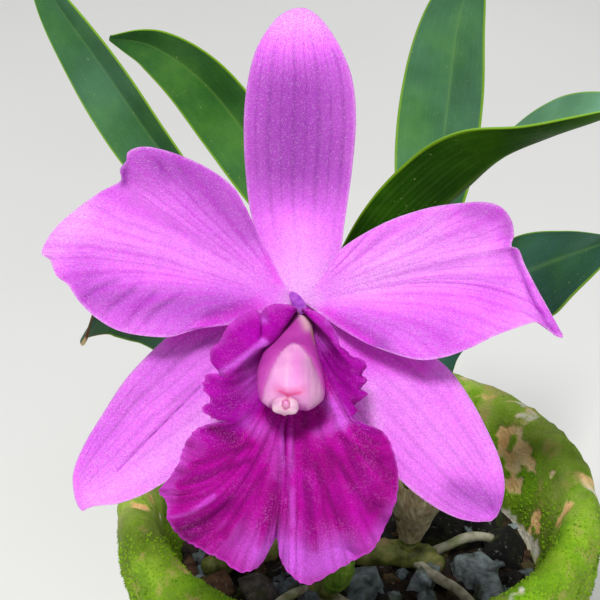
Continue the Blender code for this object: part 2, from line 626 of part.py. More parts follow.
# Ribs of the lip in turn, round from the top of its left lobe by the notch at its foot to the
# top of its right lobe: the rib's turn round the column in degrees, its end, and its middle
LIP = (
    (100, (-0.5, -1.7, 7.0), (-0.7, -1.8, 4.8)), (113, (-2.4, -0.9, 8.5), (-1.9, -2.2, 7.0)),
    (126, (-5.0, -0.8, 9.0), (-3.2, -3.4, 8.6)), (138, (-7.4, -1.4, 9.5), (-4.6, -5.0, 10.0)),
    (149, (-10.0, -2.5, 9.5), (-6.0, -6.8, 11.0)), (159, (-12.4, -3.6, 9.3), (-7.4, -8.4, 12.0)),
    (168, (-14.6, -5.6, 9.0), (-8.8, -9.7, 12.5)), (176, (-16.0, -8.2, 8.5), (-10.2, -10.8, 12.5)),
    (183, (-17.8, -10.0, 8.0), (-11.2, -11.8, 12.2)), (190, (-17.8, -12.2, 8.5), (-11.8, -12.8, 11.6)),
    (196, (-16.4, -13.8, 9.6), (-11.8, -13.8, 10.8)), (201, (-16.2, -14.8, 9.8), (-11.6, -14.7, 10.0)),
    (206, (-18.4, -14.8, 9.2), (-11.6, -15.6, 9.2)), (211, (-19.4, -16.8, 8.8), (-11.6, -16.6, 8.5)),
    (216, (-19.0, -19.2, 9.0), (-11.2, -17.7, 8.0)), (221, (-19.6, -21.2, 8.6), (-10.8, -18.7, 7.5)),
    (227, (-17.6, -23.6, 8.8), (-10.0, -19.6, 7.0)), (232, (-14.6, -24.2, 8.4), (-9.0, -20.4, 6.6)),
    (236, (-18.0, -24.8, 7.5), (-9.8, -23.0, 6.8)), (239, (-21.0, -26.0, 7.0), (-10.8, -25.2, 7.0)),
    (242, (-23.2, -29.4, 6.5), (-11.6, -27.4, 7.5)), (245, (-24.2, -32.4, 6.3), (-12.0, -29.2, 8.0)),
    (248, (-26.4, -36.0, 5.8), (-12.4, -30.8, 8.4)), (251, (-28.2, -38.2, 5.0), (-12.4, -32.2, 8.8)),
    (254, (-26.6, -40.6, 6.5), (-11.8, -33.0, 9.0)), (257, (-26.4, -44.0, 7.5), (-11.2, -34.0, 9.0)),
    (260, (-24.0, -47.2, 5.0), (-10.2, -34.6, 8.4)), (262, (-20.0, -49.8, 4.6), (-8.6, -34.8, 8.0)),
    (264, (-15.6, -52.0, 7.0), (-7.0, -34.8, 8.2)), (266, (-12.0, -54.4, 9.0), (-5.4, -34.6, 8.6)),
    (268, (-8.0, -53.0, 8.5), (-3.9, -34.0, 8.8)), (270, (-4.8, -47.6, 6.5), (-2.8, -32.0, 9.0)),
    (272, (-3.8, -52.0, 8.5), (-1.9, -32.6, 9.1)), (274, (-1.4, -55.4, 10.0), (-0.6, -33.0, 9.2)),
    (276, (1.6, -56.9, 10.5), (0.8, -33.0, 9.3)), (279, (6.0, -54.8, 9.0), (3.0, -32.8, 9.2)),
    (282, (10.4, -52.2, 6.5), (5.2, -32.4, 9.0)), (285, (14.4, -50.0, 8.5), (7.2, -31.6, 9.0)),
    (288, (17.0, -45.4, 6.5), (9.0, -30.4, 8.8)), (291, (19.2, -40.0, 7.0), (10.2, -28.8, 8.6)),
    (294, (19.6, -35.0, 5.8), (10.8, -27.0, 8.2)), (297, (18.6, -30.0, 7.0), (10.8, -25.4, 7.8)),
    (301, (16.6, -26.4, 6.0), (10.2, -23.8, 7.4)), (305, (13.2, -24.9, 7.0), (9.4, -22.4, 7.0)),
    (310, (10.4, -22.7, 8.0), (8.0, -19.3, 6.8)), (316, (11.8, -21.4, 8.5), (8.6, -18.0, 7.4)),
    (323, (13.2, -18.6, 8.0), (9.2, -16.4, 8.4)), (331, (12.4, -16.6, 8.6), (9.4, -14.9, 9.2)),
    (341, (13.0, -13.8, 8.0), (9.4, -13.2, 10.2)), (352, (11.0, -11.2, 8.6), (8.8, -11.4, 11.0)),
    (365, (8.4, -9.0, 9.0), (7.6, -9.6, 11.0)), (380, (7.0, -6.4, 8.6), (6.2, -7.6, 10.4)),
    (400, (5.0, -3.8, 8.0), (4.5, -5.0, 9.0)), (420, (2.6, -2.1, 7.5), (2.6, -3.1, 7.0)),
    (440, (0.6, -1.7, 7.0), (0.5, -1.8, 4.8)),
)
LIP_CENTRE = (-0.2, -4.6)
LIP_FOOT_RADIUS = 3.4
LIP_OUT = 2.4
LIP_STEPS = 8


def make_lip():
    """The lip: two lobes folded up round the column, and a broad waved apron below it."""
    foot = [on_circle(LIP_FOOT_RADIUS, math.radians(turn), LIP_OUT, LIP_CENTRE) for turn, _, _ in LIP]
    margin = [Vector(rib[1]) for rib in LIP]
    middle = [Vector(rib[2]) for rib in LIP]
    grid = rib_surface(foot, margin, middle, LIP_STEPS)
    blade("lip", [[seen(*p) for p in row] for row in grid], PETAL_THICKNESS, (0.45, 0.0, 0.38))


COLUMN_FOOT = Vector((0.2, -4.4, 2.5))
COLUMN_TIP = Vector((-1.9, -19.9, 15.8))
COLUMN_ARCH = 1.2
CAP_LENGTH = 2.4

# Rings of the column and of its cap: the place along it, half the width and half the depth
COLUMN_SHAPE = (
    (0.0, 2.3, 2.2), (0.15, 2.8, 2.5), (0.3, 3.5, 2.8), (0.45, 4.4, 3.1), (0.6, 5.4, 3.3),
    (0.75, 6.2, 3.4), (0.88, 6.5, 3.2), (0.96, 6.0, 2.7), (1.0, 5.0, 2.1),
)
CAP_SHAPE = ((0.0, 3.4, 1.9), (0.35, 3.8, 2.1), (0.7, 3.3, 1.8), (0.92, 2.2, 1.1), (1.0, 1.0, 0.5))


def column_ring(centre, side, back, half_width, half_depth, sides):
    """One ring of the column: arched on its back, flatter on the side that faces the lip."""
    points = []
    for k in range(sides):
        turn = math.tau * k / sides
        depth = half_depth * math.sin(turn)
        if depth < 0.0:
            depth *= 0.7
        points.append(place(*(centre + side * half_width * math.cos(turn) + back * depth)))
    return points


def make_column():
    """The column, with the anther under a small cap at its end."""
    axis = COLUMN_TIP - COLUMN_FOOT
    ahead = axis.normalized()
    side = Vector((1.0, 0.0, 0.0))
    side = (side - ahead * side.dot(ahead)).normalized()
    back = ahead.cross(side)
    if back.z < 0.0:
        back = -back
    body = []
    for up, half_width, half_depth in COLUMN_SHAPE:
        centre = COLUMN_FOOT + axis * up + back * COLUMN_ARCH * math.sin(math.pi * up)
        body.append(column_ring(centre, side, back, half_width, half_depth, 16))
    lofted("column", body, (0.72, 0.30, 0.58))
    cap = []
    for up, half_width, half_depth in CAP_SHAPE:
        centre = COLUMN_TIP + ahead * (GAP + CAP_LENGTH * up)
        cap.append(column_ring(centre, side, back, half_width, half_depth, 12))
    lofted("anther_cap", cap, (0.85, 0.62, 0.76))


def make_ovary():
    """The flower's stalk: a slim ovary that widens into the hub that bears every petal."""
    run = ((2.0, 3.1), (1.7, HUB_RADIUS), (-2.6, HUB_RADIUS), (-4.4, 2.4), (-8.0, OVARY_RADIUS),
           (-15.0, OVARY_RADIUS + 0.1), (-24.0, OVARY_RADIUS), (-32.0, OVARY_RADIUS - 0.2))
    path = [place(0, 0, out) for out, _ in run]
    radii = [radius for _, radius in run]
    path += [Vector((-14.9, -43.4, 177.2)), STALK_JOINT]
    radii += [PEDUNCLE_RADIUS, PEDUNCLE_RADIUS]
    tube("ovary", path, radii, 16, (0.42, 0.32, 0.28))


STALK_JOINT = Vector((-14.4, -40.4, 173.4))
PEDUNCLE_FOOT = Vector((-8.0, -30.0, 149.6))
SHEATH_WALL = 0.7
SHEATH_LENGTH = 8.6


def stalk_start():
    """Where the flower stalk leaves its pseudobulb, and the way that it sets out."""
    foot, top, _, _ = BULBS[1]
    axis = (top - foot).normalized()
    return PEDUNCLE_FOOT + axis * (GAP + 0.1), axis


def make_peduncle():
    start, axis = stalk_start()
    end = STALK_JOINT + Vector((0.1, 0.25, -0.35))
    path = [Vector(p) for p in spline([start, start + axis * 9.0, (-11.3, -36.0, 167.5), end], 10)]
    tube("peduncle", path, [PEDUNCLE_RADIUS] * len(path), 10, (0.36, 0.40, 0.16))


def make_spathe():
    """The dry sheath that the flower stalk grew out of: a short sleeve round the stalk's foot."""
    start, axis = stalk_start()
    inner = PEDUNCLE_RADIUS + GAP + 0.1
    path = [start, start + axis * SHEATH_LENGTH / 2, start + axis * SHEATH_LENGTH]
    frames = rings(path)
    sides = 12
    walls = []
    for radius in (inner, inner + SHEATH_WALL):
        for centre, (side, other) in zip(path, frames):
            walls.append(circle(centre, side, other, radius, sides))
    order = [walls[0], walls[1], walls[2], walls[5], walls[4], walls[3]]
    points = [p for ring in order for p in ring]
    faces = []
    for i in range(len(order)):
        for k in range(sides):
            a = i * sides + k
            b = i * sides + (k + 1) % sides
            c = ((i + 1) % len(order)) * sides
            faces.append((a, b, c + (k + 1) % sides, c + k))
    solid("spathe", points, faces, (0.45, 0.38, 0.22))


# Leaves: number of the pseudobulb, shift of the foot on its top, points of the spine as seen past
# the flower, width, direction of one side at foot and tip, and fold in degrees at foot and tip
LEAVES = (
    (1, Vector((0.0, 2.4, 0.4)), ((9.0, -1.0, -69.0), (19.0, 10.0, -66.0), (30.0, 19.5, -59.0),
     (40.0, 27.5, -50.0), (50.0, 32.0, -40.0), (60.0, 35.6, -31.0), (68.0, 38.4, -25.0)), 27.0,
     (-0.9, 0.2, 0.4), (-0.3, 0.0, 0.95), 35.0, 34.0),
    (2, Vector((0.0, 0.0, 0.0)), ((38.0, 2.5, -65.0), (48.5, 6.6, -50.0),
     (57.0, 9.5, -38.0), (65.0, 12.4, -30.0)), 25.0, (-0.3, 0.9, 0.2), (-0.1, 0.9, -0.4), 40.0, 18.0),
    (3, Vector((0.0, 0.0, 0.0)), ((-26.0, 1.6, -66.0), (-33.0, 0.5, -47.0),
     (-39.0, -3.0, -34.0), (-42.6, -6.8, -27.0)), 24.0, (-0.3, -0.9, 0.2), (-0.2, -0.9, -0.3), 40.0, 16.0),
    (4, Vector((0.0, 0.0, 0.0)), ((-20.0, 20.5, -107.0), (-30.6, 34.5, -102.0),
     (-40.0, 48.0, -95.0), (-49.0, 60.5, -88.0), (-53.5, 68.0, -84.0)), 21.0,
     (0.7, 0.3, 0.6), (0.6, 0.4, 0.7), 38.0, 22.0),
    (5, Vector((0.0, 0.0, 0.0)), ((25.6, 9.0, -119.0), (28.0, 24.0, -117.0), (30.0, 41.0, -113.0),
     (32.0, 56.0, -106.0), (36.0, 69.0, -97.0)), 25.0, (0.9, -0.1, 0.3), (0.8, -0.3, 0.4), 38.0, 20.0),
    (6, Vector((0.0, 0.0, 0.0)), ((4.0, 8.0, -144.0), (-3.0, 22.0, -144.0), (-11.0, 34.0, -142.0),
     (-20.0, 44.5, -138.0), (-29.5, 51.0, -132.0), (-38.0, 52.5, -126.0)), 22.0,
     (0.8, 0.3, 0.3), (0.3, 0.8, 0.5), 38.0, 22.0),
)

make_pot()
make_mix(stem_pieces(GAP))
make_rhizome()
for bulb_number in BULBS:
    make_pseudobulb(bulb_number)
make_shoot()
for leaf in LEAVES:
    make_leaf(*leaf)
make_peduncle()
make_spathe()
make_ovary()
make_sepal("dorsal_sepal", DORSAL_SEPAL, 130.0, 50.0)
make_sepal("lateral_sepal_left", LEFT_SEPAL, 200.0, 262.0)
make_sepal("lateral_sepal_right", RIGHT_SEPAL, -20.0, -82.0)
make_petal("petal_left", LEFT_PETAL, 138.0, 194.0, -1.0)
make_petal("petal_right", RIGHT_PETAL, 42.0, -14.0, 1.0)
make_lip()
make_column()
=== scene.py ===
"""How a cattleya orchid looks, on its solids: a lilac bloom over a mossy clay pot.

The sections follow the plant as it is put together, from the pot to the bloom. Lengths are in
millimetres, and body() turns them into metres. A place in the bloom is given across it, up its
face and out of its face, measured from its hub.
"""

import math
import random

import bmesh
import bpy
import numpy as np
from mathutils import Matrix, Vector, noise


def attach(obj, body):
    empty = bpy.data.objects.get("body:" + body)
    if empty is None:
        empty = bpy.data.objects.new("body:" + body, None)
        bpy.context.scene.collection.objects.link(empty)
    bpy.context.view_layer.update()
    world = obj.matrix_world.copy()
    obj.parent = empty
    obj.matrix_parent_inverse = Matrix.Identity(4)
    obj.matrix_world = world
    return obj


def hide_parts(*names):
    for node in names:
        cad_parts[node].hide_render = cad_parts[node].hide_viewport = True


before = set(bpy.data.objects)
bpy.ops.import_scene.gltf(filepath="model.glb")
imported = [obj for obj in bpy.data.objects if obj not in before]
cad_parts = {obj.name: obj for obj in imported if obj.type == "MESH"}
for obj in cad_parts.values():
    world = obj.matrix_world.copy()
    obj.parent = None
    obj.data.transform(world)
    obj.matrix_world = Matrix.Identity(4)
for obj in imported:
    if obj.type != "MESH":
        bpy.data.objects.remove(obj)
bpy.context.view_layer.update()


# The pot
# Fired clay thrown on a wheel, with a thick rolled rim and three holes in its floor. Years of
# watering have grown algae and moss on it, left lime on the rim and bared the clay in patches.
MM = 0.001
POT_HEIGHT = 95.0
RIM_RADIUS = 61.0
RIM_HEIGHT = 22.0
RIM_WALL = 9.0
FOOT_RADIUS = 42.0
WALL = 7.0
DRAIN_RADIUS = 5.0
DRAIN_FROM_AXIS = 22.0
POT_SIDES = 176
POT_RINGS = 150
CRUST = 0.9
# Spots of bare clay and of lime: a place on the pot and a radius
BARE_SPOTS = (
    (40.5, 30, 87, 5.5), (45, 23, 86.5, 5), (42.5, 25, 80, 4.5), (41.8, 24, 75, 3.4), (47.8, 9.5, 77, 4.2),
    (47.2, 9, 72, 3.4), (42.2, 29.1, 92.5, 2.4), (50.2, 11.4, 91.5, 2.4), (-55, -8, 94, 2.4),
)
LIME_SPOTS = (
    (40.4, 23.6, 68, 2.6), (42.2, 19.6, 68, 2.8), (44.2, 15, 68.5, 2.8), (45.8, 9.6, 69.5, 3),
    (47, 4, 71, 3),
)


def spline(rows, count):
    """Rows of numbers read at even steps along a smooth curve through the given rows."""
    rows = np.array(rows, float)
    at = np.linspace(0, len(rows) - 1, count)
    i = np.minimum(at.astype(int), len(rows) - 2)
    t = (at - i).reshape(-1, *[1] * (rows.ndim - 1))
    before = rows[np.maximum(i - 1, 0)]
    one = rows[i]
    two = rows[i + 1]
    after = rows[np.minimum(i + 2, len(rows) - 1)]
    bend = 2 * before - 5 * one + 4 * two - after
    return 0.5 * (2 * one + (two - before) * t + bend * t**2 + (3 * one - before - 3 * two + after) * t**3)


def full_turn(sides):
    return np.linspace(0, math.tau, sides, endpoint=False)


def even(points, count):
    """Points at even distances along the line through the given points."""
    points = np.array(points, float)
    steps = np.linalg.norm(np.diff(points, axis=0), axis=1)
    lengths = np.concatenate([[0.0], np.cumsum(steps)])
    at = np.linspace(0, lengths[-1], count)
    return np.stack([np.interp(at, lengths, points[:, k]) for k in range(points.shape[1])], 1)


def rough(points, size, octaves=3):
    """Smooth random heights of about -1 to 1 over points, in lumps of the given size."""
    flat = np.asarray(points, float).reshape(-1, 3) / size
    values = [noise.fractal(Vector(p), 0.7, 2.0, octaves) for p in flat.tolist()]
    return np.array(values).reshape(np.shape(points)[:-1])


def smooth(values, low, high):
    """0 below low and 1 above high, with a smooth rise between them."""
    t = np.clip((values - low) / (high - low), 0.0, 1.0)
    return t * t * (3 - 2 * t)


def bell(away, width):
    """1 where away is 0, falling off softly over a width."""
    return np.exp(-((away / width) ** 2))


def near(points, spot):
    """1 at a spot, falling to 0 a little beyond its radius."""
    return np.exp(-((np.linalg.norm(points - np.array(spot[:3]), axis=-1) / spot[3]) ** 2) ** 1.5)


def body(name, points, faces, places=None, marks=None, crease=60.0):
    """One closed piece, with places on its surface (a UV map) and marks (attributes) for its material."""
    mesh = bpy.data.meshes.new(name)
    mesh.from_pydata((np.asarray(points, float).reshape(-1, 3) * MM).tolist(), [], faces)
    work = bmesh.new()
    work.from_mesh(mesh)
    if work.calc_volume(signed=True) < 0.0:
        bmesh.ops.reverse_faces(work, faces=work.faces)
    work.to_mesh(mesh)
    work.free()
    mesh.shade_smooth()
    mesh.set_sharp_from_angle(angle=math.radians(crease))
    if places is not None:
        corners = np.zeros(len(mesh.loops), int)
        mesh.loops.foreach_get("vertex_index", corners)
        totals = np.zeros(len(mesh.polygons), int)
        mesh.polygons.foreach_get("loop_total", totals)
        starts = np.concatenate([[0], np.cumsum(totals)[:-1]])
        spots = np.array(places, float).reshape(-1, 2)[corners]
        furthest = np.repeat(np.maximum.reduceat(spots[:, 0], starts), totals)
        spots[:, 0] += (furthest - spots[:, 0] > 0.5)
        layer = mesh.uv_layers.new(name="surface")
        layer.data.foreach_set("uv", spots.astype(np.float32).ravel())
    for key, values in (marks or {}).items():
        mark = mesh.attributes.new(key, "FLOAT", "POINT")
        mark.data.foreach_set("value", np.asarray(values, np.float32).ravel())
    thing = bpy.data.objects.new(name, mesh)
    bpy.context.scene.collection.objects.link(thing)
    return thing


def lofted(name, rings, marks=None, crease=60.0):
    """A closed piece through rings of points, flat at both ends."""
    count, sides = rings.shape[:2]
    index = np.arange(count * sides).reshape(count, sides)
    beside = np.roll(index, -1, 1)
    faces = np.stack([index[:-1], beside[:-1], beside[1:], index[1:]], -1).reshape(-1, 4).tolist()
    faces += [index[0, ::-1].tolist(), index[-1].tolist()]
    along, round_it = np.meshgrid(np.linspace(0, 1, count), np.arange(sides) / sides, indexing="ij")
    return body(name, rings, faces, np.stack([round_it, along], -1), marks, crease)


def node(kind, inputs=(), tree=None, **settings):
    """A node with its settings made and its inputs filled in or linked, in the tree they come from."""
    inputs = dict(inputs)
    linked = [value for value in inputs.values() if isinstance(value, bpy.types.NodeSocket)]
    tree = tree or linked[0].id_data
    made = tree.nodes.new(kind)
    for key, value in settings.items():
        setattr(made, key, value)
    for slot, value in inputs.items():
        if value in linked:
            tree.links.new(value, made.inputs[slot])
        else:
            made.inputs[slot].default_value = value
    return made


def paint(red, green, blue):
    """A colour as a paint chart gives it, 0 to 255, turned into the shader's own scale."""
    scaled = [c / 255 for c in (red, green, blue)]
    return (*[c / 12.92 if c <= 0.04045 else ((c + 0.055) / 1.055) ** 2.4 for c in scaled], 1.0)


def number(operation, *values):
    return node("ShaderNodeMath", enumerate(values), operation=operation).outputs[0]


def mixed(share, one, other, way="MIX"):
    """One colour turned towards the other by a share."""
    return node("ShaderNodeMix", {0: share, 6: one, 7: other}, data_type="RGBA", blend_type=way).outputs[2]


def between(value, low, high, to_low=0.0, to_high=1.0):
    """A value read from low to high, smoothly and no further."""
    inputs = {0: value, 1: low, 2: high, 3: to_low, 4: to_high}
    return node("ShaderNodeMapRange", inputs, interpolation_type="SMOOTHSTEP").outputs[0]


def graded(value, *stops):
    """A colour read from stops, each a place and a paint."""
    made = node("ShaderNodeValToRGB", {0: value})
    band = made.color_ramp
    while len(band.elements) < len(stops):
        band.elements.new(0.5)
    for element, (at, *colour) in zip(band.elements, stops):
        element.position = at
        element.color = paint(*colour)
    return made.outputs[0]


def cloud(where, per_metre, detail=3.0, roughness=0.55, stretch=None):
    """Soft random patches, so many to a metre."""
    if stretch:
        where = node("ShaderNodeMapping", {0: where, 3: stretch}).outputs[0]
    inputs = {"Vector": where, "Scale": per_metre, "Detail": detail, "Roughness": roughness}
    return node("ShaderNodeTexNoise", inputs).outputs[0]


def mark(where, name, times=1.0):
    """One of the piece's marks, read in the same tree as where, times a number."""
    found = node("ShaderNodeAttribute", tree=where.id_data, attribute_name=name).outputs["Fac"]
    return found if times == 1.0 else number("MULTIPLY", found, times)


def in_patches(where, per_metre, detail, low, high, most=1.0, least=0.0):
    """The share of a paint that shows in soft random patches."""
    return between(cloud(where, per_metre, detail), low, high, least, most)


def layered(ground, *layers):
    """A colour with paints laid over it one after another, each given as its share and its paint."""
    for share, *over in layers:
        ground = mixed(share, ground, paint(*over))
    return ground


def bumped(height, deep, strength=1.0):
    """A normal from a height, where deep is the height's full depth in metres."""
    return node("ShaderNodeBump", {"Height": height, "Distance": deep, "Strength": strength}).outputs[0]


def finish(name, **fixed):
    """A new material with the values that are the same all over it, and where its points lie."""
    material = bpy.data.materials.new(name)
    material.use_nodes = True
    shader = material.node_tree.nodes["Principled BSDF"]
    for slot, value in fixed.items():
        shader.inputs[slot.replace("_", " ")].default_value = value
    return material, node("ShaderNodeTexCoord", tree=material.node_tree).outputs["Object"]


def fed(material, **sockets):
    """The material, with its shader's inputs fed from those sockets."""
    shader = material.node_tree.nodes["Principled BSDF"]
    for slot, socket in sockets.items():
        material.node_tree.links.new(socket, shader.inputs[slot.replace("_", " ")])
    return material


def dress(thing, material, slot, *nodes):
    """Gives a piece its material and lets it ride in place of its solids."""
    thing.data.materials.clear()
    thing.data.materials.append(material)
    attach(thing, "root")
    if nodes:
        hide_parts(*nodes)
    return thing


def inner_radius(height):
    """The pot's inside radius at a height above its floor."""
    up = (height - WALL) / (POT_HEIGHT - WALL)
    return (FOOT_RADIUS - WALL) * (1 - up) + (RIM_RADIUS - RIM_WALL) * up


def pot_profile():
    """The pot's outline from under its floor, up its outside, over the rim and down to its floor."""
    band = POT_HEIGHT - RIM_HEIGHT
    mouth = RIM_RADIUS - RIM_WALL
    under_band = inner_radius(band) + WALL - 1.0
    corners = [
        (0.4, 0.0), (FOOT_RADIUS - 1.6, 0.0), (FOOT_RADIUS - 0.5, 0.3), (FOOT_RADIUS, 1.4),
        (under_band, band - 1.4), (under_band + 0.5, band - 0.4), (RIM_RADIUS - 2.2, band + 0.1),
        (RIM_RADIUS - 0.9, band + 0.9), (RIM_RADIUS - 0.3, band + 3.0), (RIM_RADIUS, POT_HEIGHT - 6.0),
        (RIM_RADIUS - 0.4, POT_HEIGHT - 3.0), (RIM_RADIUS - 1.5, POT_HEIGHT - 0.9),
        (RIM_RADIUS - 3.2, POT_HEIGHT), (mouth + 3.0, POT_HEIGHT), (mouth + 1.2, POT_HEIGHT - 0.9),
        (mouth + 0.4, POT_HEIGHT - 2.6), (inner_radius(POT_HEIGHT - 8.0), POT_HEIGHT - 8.0),
        (inner_radius(WALL + 3.0), WALL + 3.0), (FOOT_RADIUS - WALL - 3.0, WALL), (0.4, WALL),
    ]
    return even(corners, POT_RINGS)


def make_pot():
    profile = pot_profile()
    turns = full_turn(POT_SIDES)
    radius = profile[:, :1]
    heights = np.repeat(profile[:, 1:], POT_SIDES, 1)
    rings = np.stack([radius * np.cos(turns), radius * np.sin(turns), heights], -1)
    slope = np.gradient(profile, axis=0)
    slope /= np.linalg.norm(slope, axis=1, keepdims=True) + 1e-9
    outwards = np.stack([slope[:, 1:] * np.cos(turns), slope[:, 1:] * np.sin(turns),
                         np.repeat(-slope[:, :1], POT_SIDES, 1)], -1)
    patches = rough(rings, 26.0, 4)
    outside = (smooth(radius, inner_radius(20.0), FOOT_RADIUS) * smooth(rings[..., 2], 1.0, 6.0))
    inside_rim = smooth(rings[..., 2], POT_HEIGHT - 24.0, POT_HEIGHT - 14.0)
    wet = np.maximum(outside, inside_rim)
    bare = 1.5 * sum(near(rings, spot) for spot in BARE_SPOTS) * (0.7 + 0.9 * rough(rings + 40.0, 4.5, 3))
    lime = 0.8 * inside_rim * smooth(rough(rings + 70.0, 11.0, 3), 0.55, 0.95)
    lime = lime + 1.2 * sum(near(rings, spot) for spot in LIME_SPOTS)
    lime = np.clip(lime + 0.5 * rough(rings, 3.0, 3) * (lime > 0.1), 0, 1)
    # The rear of the rim's top is paler: dry algae, and painted light that lifts the shadow the bloom casts
    # there
    dry_algae_and_painted_light = smooth(rings[..., 2], 82.0, 91.0) * smooth(rings[..., 1], -26.0, 10.0)
    dry_algae_and_painted_light *= (1 - np.clip(bare, 0, 1)) * (1 - 0.7 * smooth(rings[..., 0], 26.0, 48.0))
    patches = patches + 0.45 * rough(rings, 6.0, 3) + 0.45 * smooth(rings[..., 2], 40.0, 90.0)
    growth = wet * smooth(patches - bare, -0.55, 0.15) * (1 - 0.7 * lime)
    lift = growth * CRUST * (0.55 + 0.45 * rough(rings, 3.2, 3)) + 0.35 * rough(rings, 30.0, 2)
    lift += 0.12 * rough(rings, 2.2, 2) * wet
    fade = smooth(rings[..., 2], 0.0, 3.0)
    marks = {"growth": growth, "lime": lime, "dry_algae_and_painted_light": dry_algae_and_painted_light, "tufts": growth * (1 - dry_algae_and_painted_light)}
    pot = lofted("pot_clay", rings + outwards * (lift * fade)[..., None], marks)
    for k in range(3):
        turn = math.tau * (k + 0.25) / 3
        bpy.ops.mesh.primitive_cylinder_add(vertices=32, radius=DRAIN_RADIUS * MM, depth=40 * MM, location=(
            DRAIN_FROM_AXIS * math.cos(turn) * MM, DRAIN_FROM_AXIS * math.sin(turn) * MM, 0.0))
        drill = bpy.context.object
        cut = pot.modifiers.new("drain", "BOOLEAN")
        cut.operation = "DIFFERENCE"
        cut.object = drill
        settle(pot)
        bpy.data.objects.remove(drill)
    return pot


def settle(thing):
    """Turns what a piece's modifiers make into its plain mesh."""
    graph = bpy.context.evaluated_depsgraph_get()
    mesh = bpy.data.meshes.new_from_object(thing.evaluated_get(graph), depsgraph=graph)
    thing.modifiers.clear()
    thing.data = mesh


def mossy_clay():
    material, where = finish("mossy_clay", Specular_IOR_Level=0.3)
    fired = graded(cloud(where, 90.0, 6.0), (0.3, 232, 166, 104), (0.5, 255, 214, 146), (0.72, 255, 236, 190))
    damp = graded(cloud(where, 110.0, 5.0), (0.34, 94, 146, 8), (0.5, 138, 198, 20), (0.66, 174, 222, 44))
    grime = graded(cloud(where, 60.0, 5.0), (0.36, 98, 128, 16), (0.64, 158, 192, 56))
    dry_algae_and_painted_light = graded(cloud(where, 140.0, 5.0), (0.34, 146, 196, 44), (0.5, 186, 216, 90), (0.68, 212, 212, 140))
    green = mixed(between(cloud(where, 22.0), 0.4, 0.62), grime, damp)
    # Pale dry algae on the rear of the rim's top, which is also painted light over the bloom's shadow
    green = mixed(mark(where, "dry_algae_and_painted_light", 0.85), green, dry_algae_and_painted_light)
    green = layered(green, (in_patches(where, 126.0, 5.0, 0.52, 0.68, 0.5), 214, 180, 118))
    ragged = number("MULTIPLY_ADD", cloud(where, 300.0, 6.0), 1.3, -0.65)
    cover = between(number("ADD", mark(where, "growth"), ragged), 0.16, 0.7)
    crust = number("MULTIPLY_ADD", cloud(where, 500.0, 6.0), 1.2, -0.6)
    colour = layered(
        mixed(cover, fired, green),
        (between(number("ADD", mark(where, "lime"), crust), 0.36, 0.86, 0.0, 0.9), 240, 238, 218),
        (in_patches(where, 1500.0, 2.0, 0.62, 0.7, 0.5), 36, 40, 18))
    height = number("MULTIPLY_ADD", cloud(where, 2600.0, 3.0), cover, cloud(where, 1100.0, 6.0))
    return fed(material, Base_Color=colour, Roughness=between(cover, 0.0, 1.0, 0.78, 0.95),
               Normal=bumped(height, 0.0007, 0.9))


pot = make_pot()
clay = mossy_clay()
dress(pot, clay, "clay", "pot")


# Moss on the pot
# Short green cushions of moss, rooted in the crust of algae wherever it is thick, which give the
# pot its soft outline. Each tuft is three leaning blades.
MOSS_SPACING = 1.05
MOSS_HEIGHT = 0.8
MOSS_SEED = 4


def new_tree(name, kind, takes, gives):
    """A node tree with named inputs and outputs, and the sockets at its two ends."""
    tree = bpy.data.node_groups.new(name, kind)
    for way, named in (("INPUT", takes), ("OUTPUT", gives)):
        for title, socket in named.items():
            tree.interface.new_socket(title, in_out=way, socket_type="NodeSocket" + socket)
    return tree, tree.nodes.new("NodeGroupInput").outputs, tree.nodes.new("NodeGroupOutput").inputs


def drawn(seed, low, high):
    """A random number, or a random turn about three axes, between low and high."""
    if isinstance(low, tuple):
        inputs = {0: low, 1: high, "Seed": seed}
        return node("FunctionNodeRandomValue", inputs, data_type="FLOAT_VECTOR").outputs[0]
    return node("FunctionNodeRandomValue", {2: low, 3: high, "Seed": seed}, data_type="FLOAT").outputs[1]


def grown(name, carrier, tree, material, **values):
    """What a geometry tree grows on a carrier, as a plain mesh of its own."""
    thing = bpy.data.objects.new(name, carrier.data.copy())
    bpy.context.scene.collection.objects.link(thing)
    step = thing.modifiers.new("grow", "NODES")
    step.node_group = tree
    sockets = {item.name: item.identifier for item in tree.interface.items_tree if item.in_out == "INPUT"}
    for title, value in values.items():
        step[sockets[title]] = value
    step[sockets["Finish"]] = material
    settle(thing)
    thing.data.shade_smooth()
    return thing


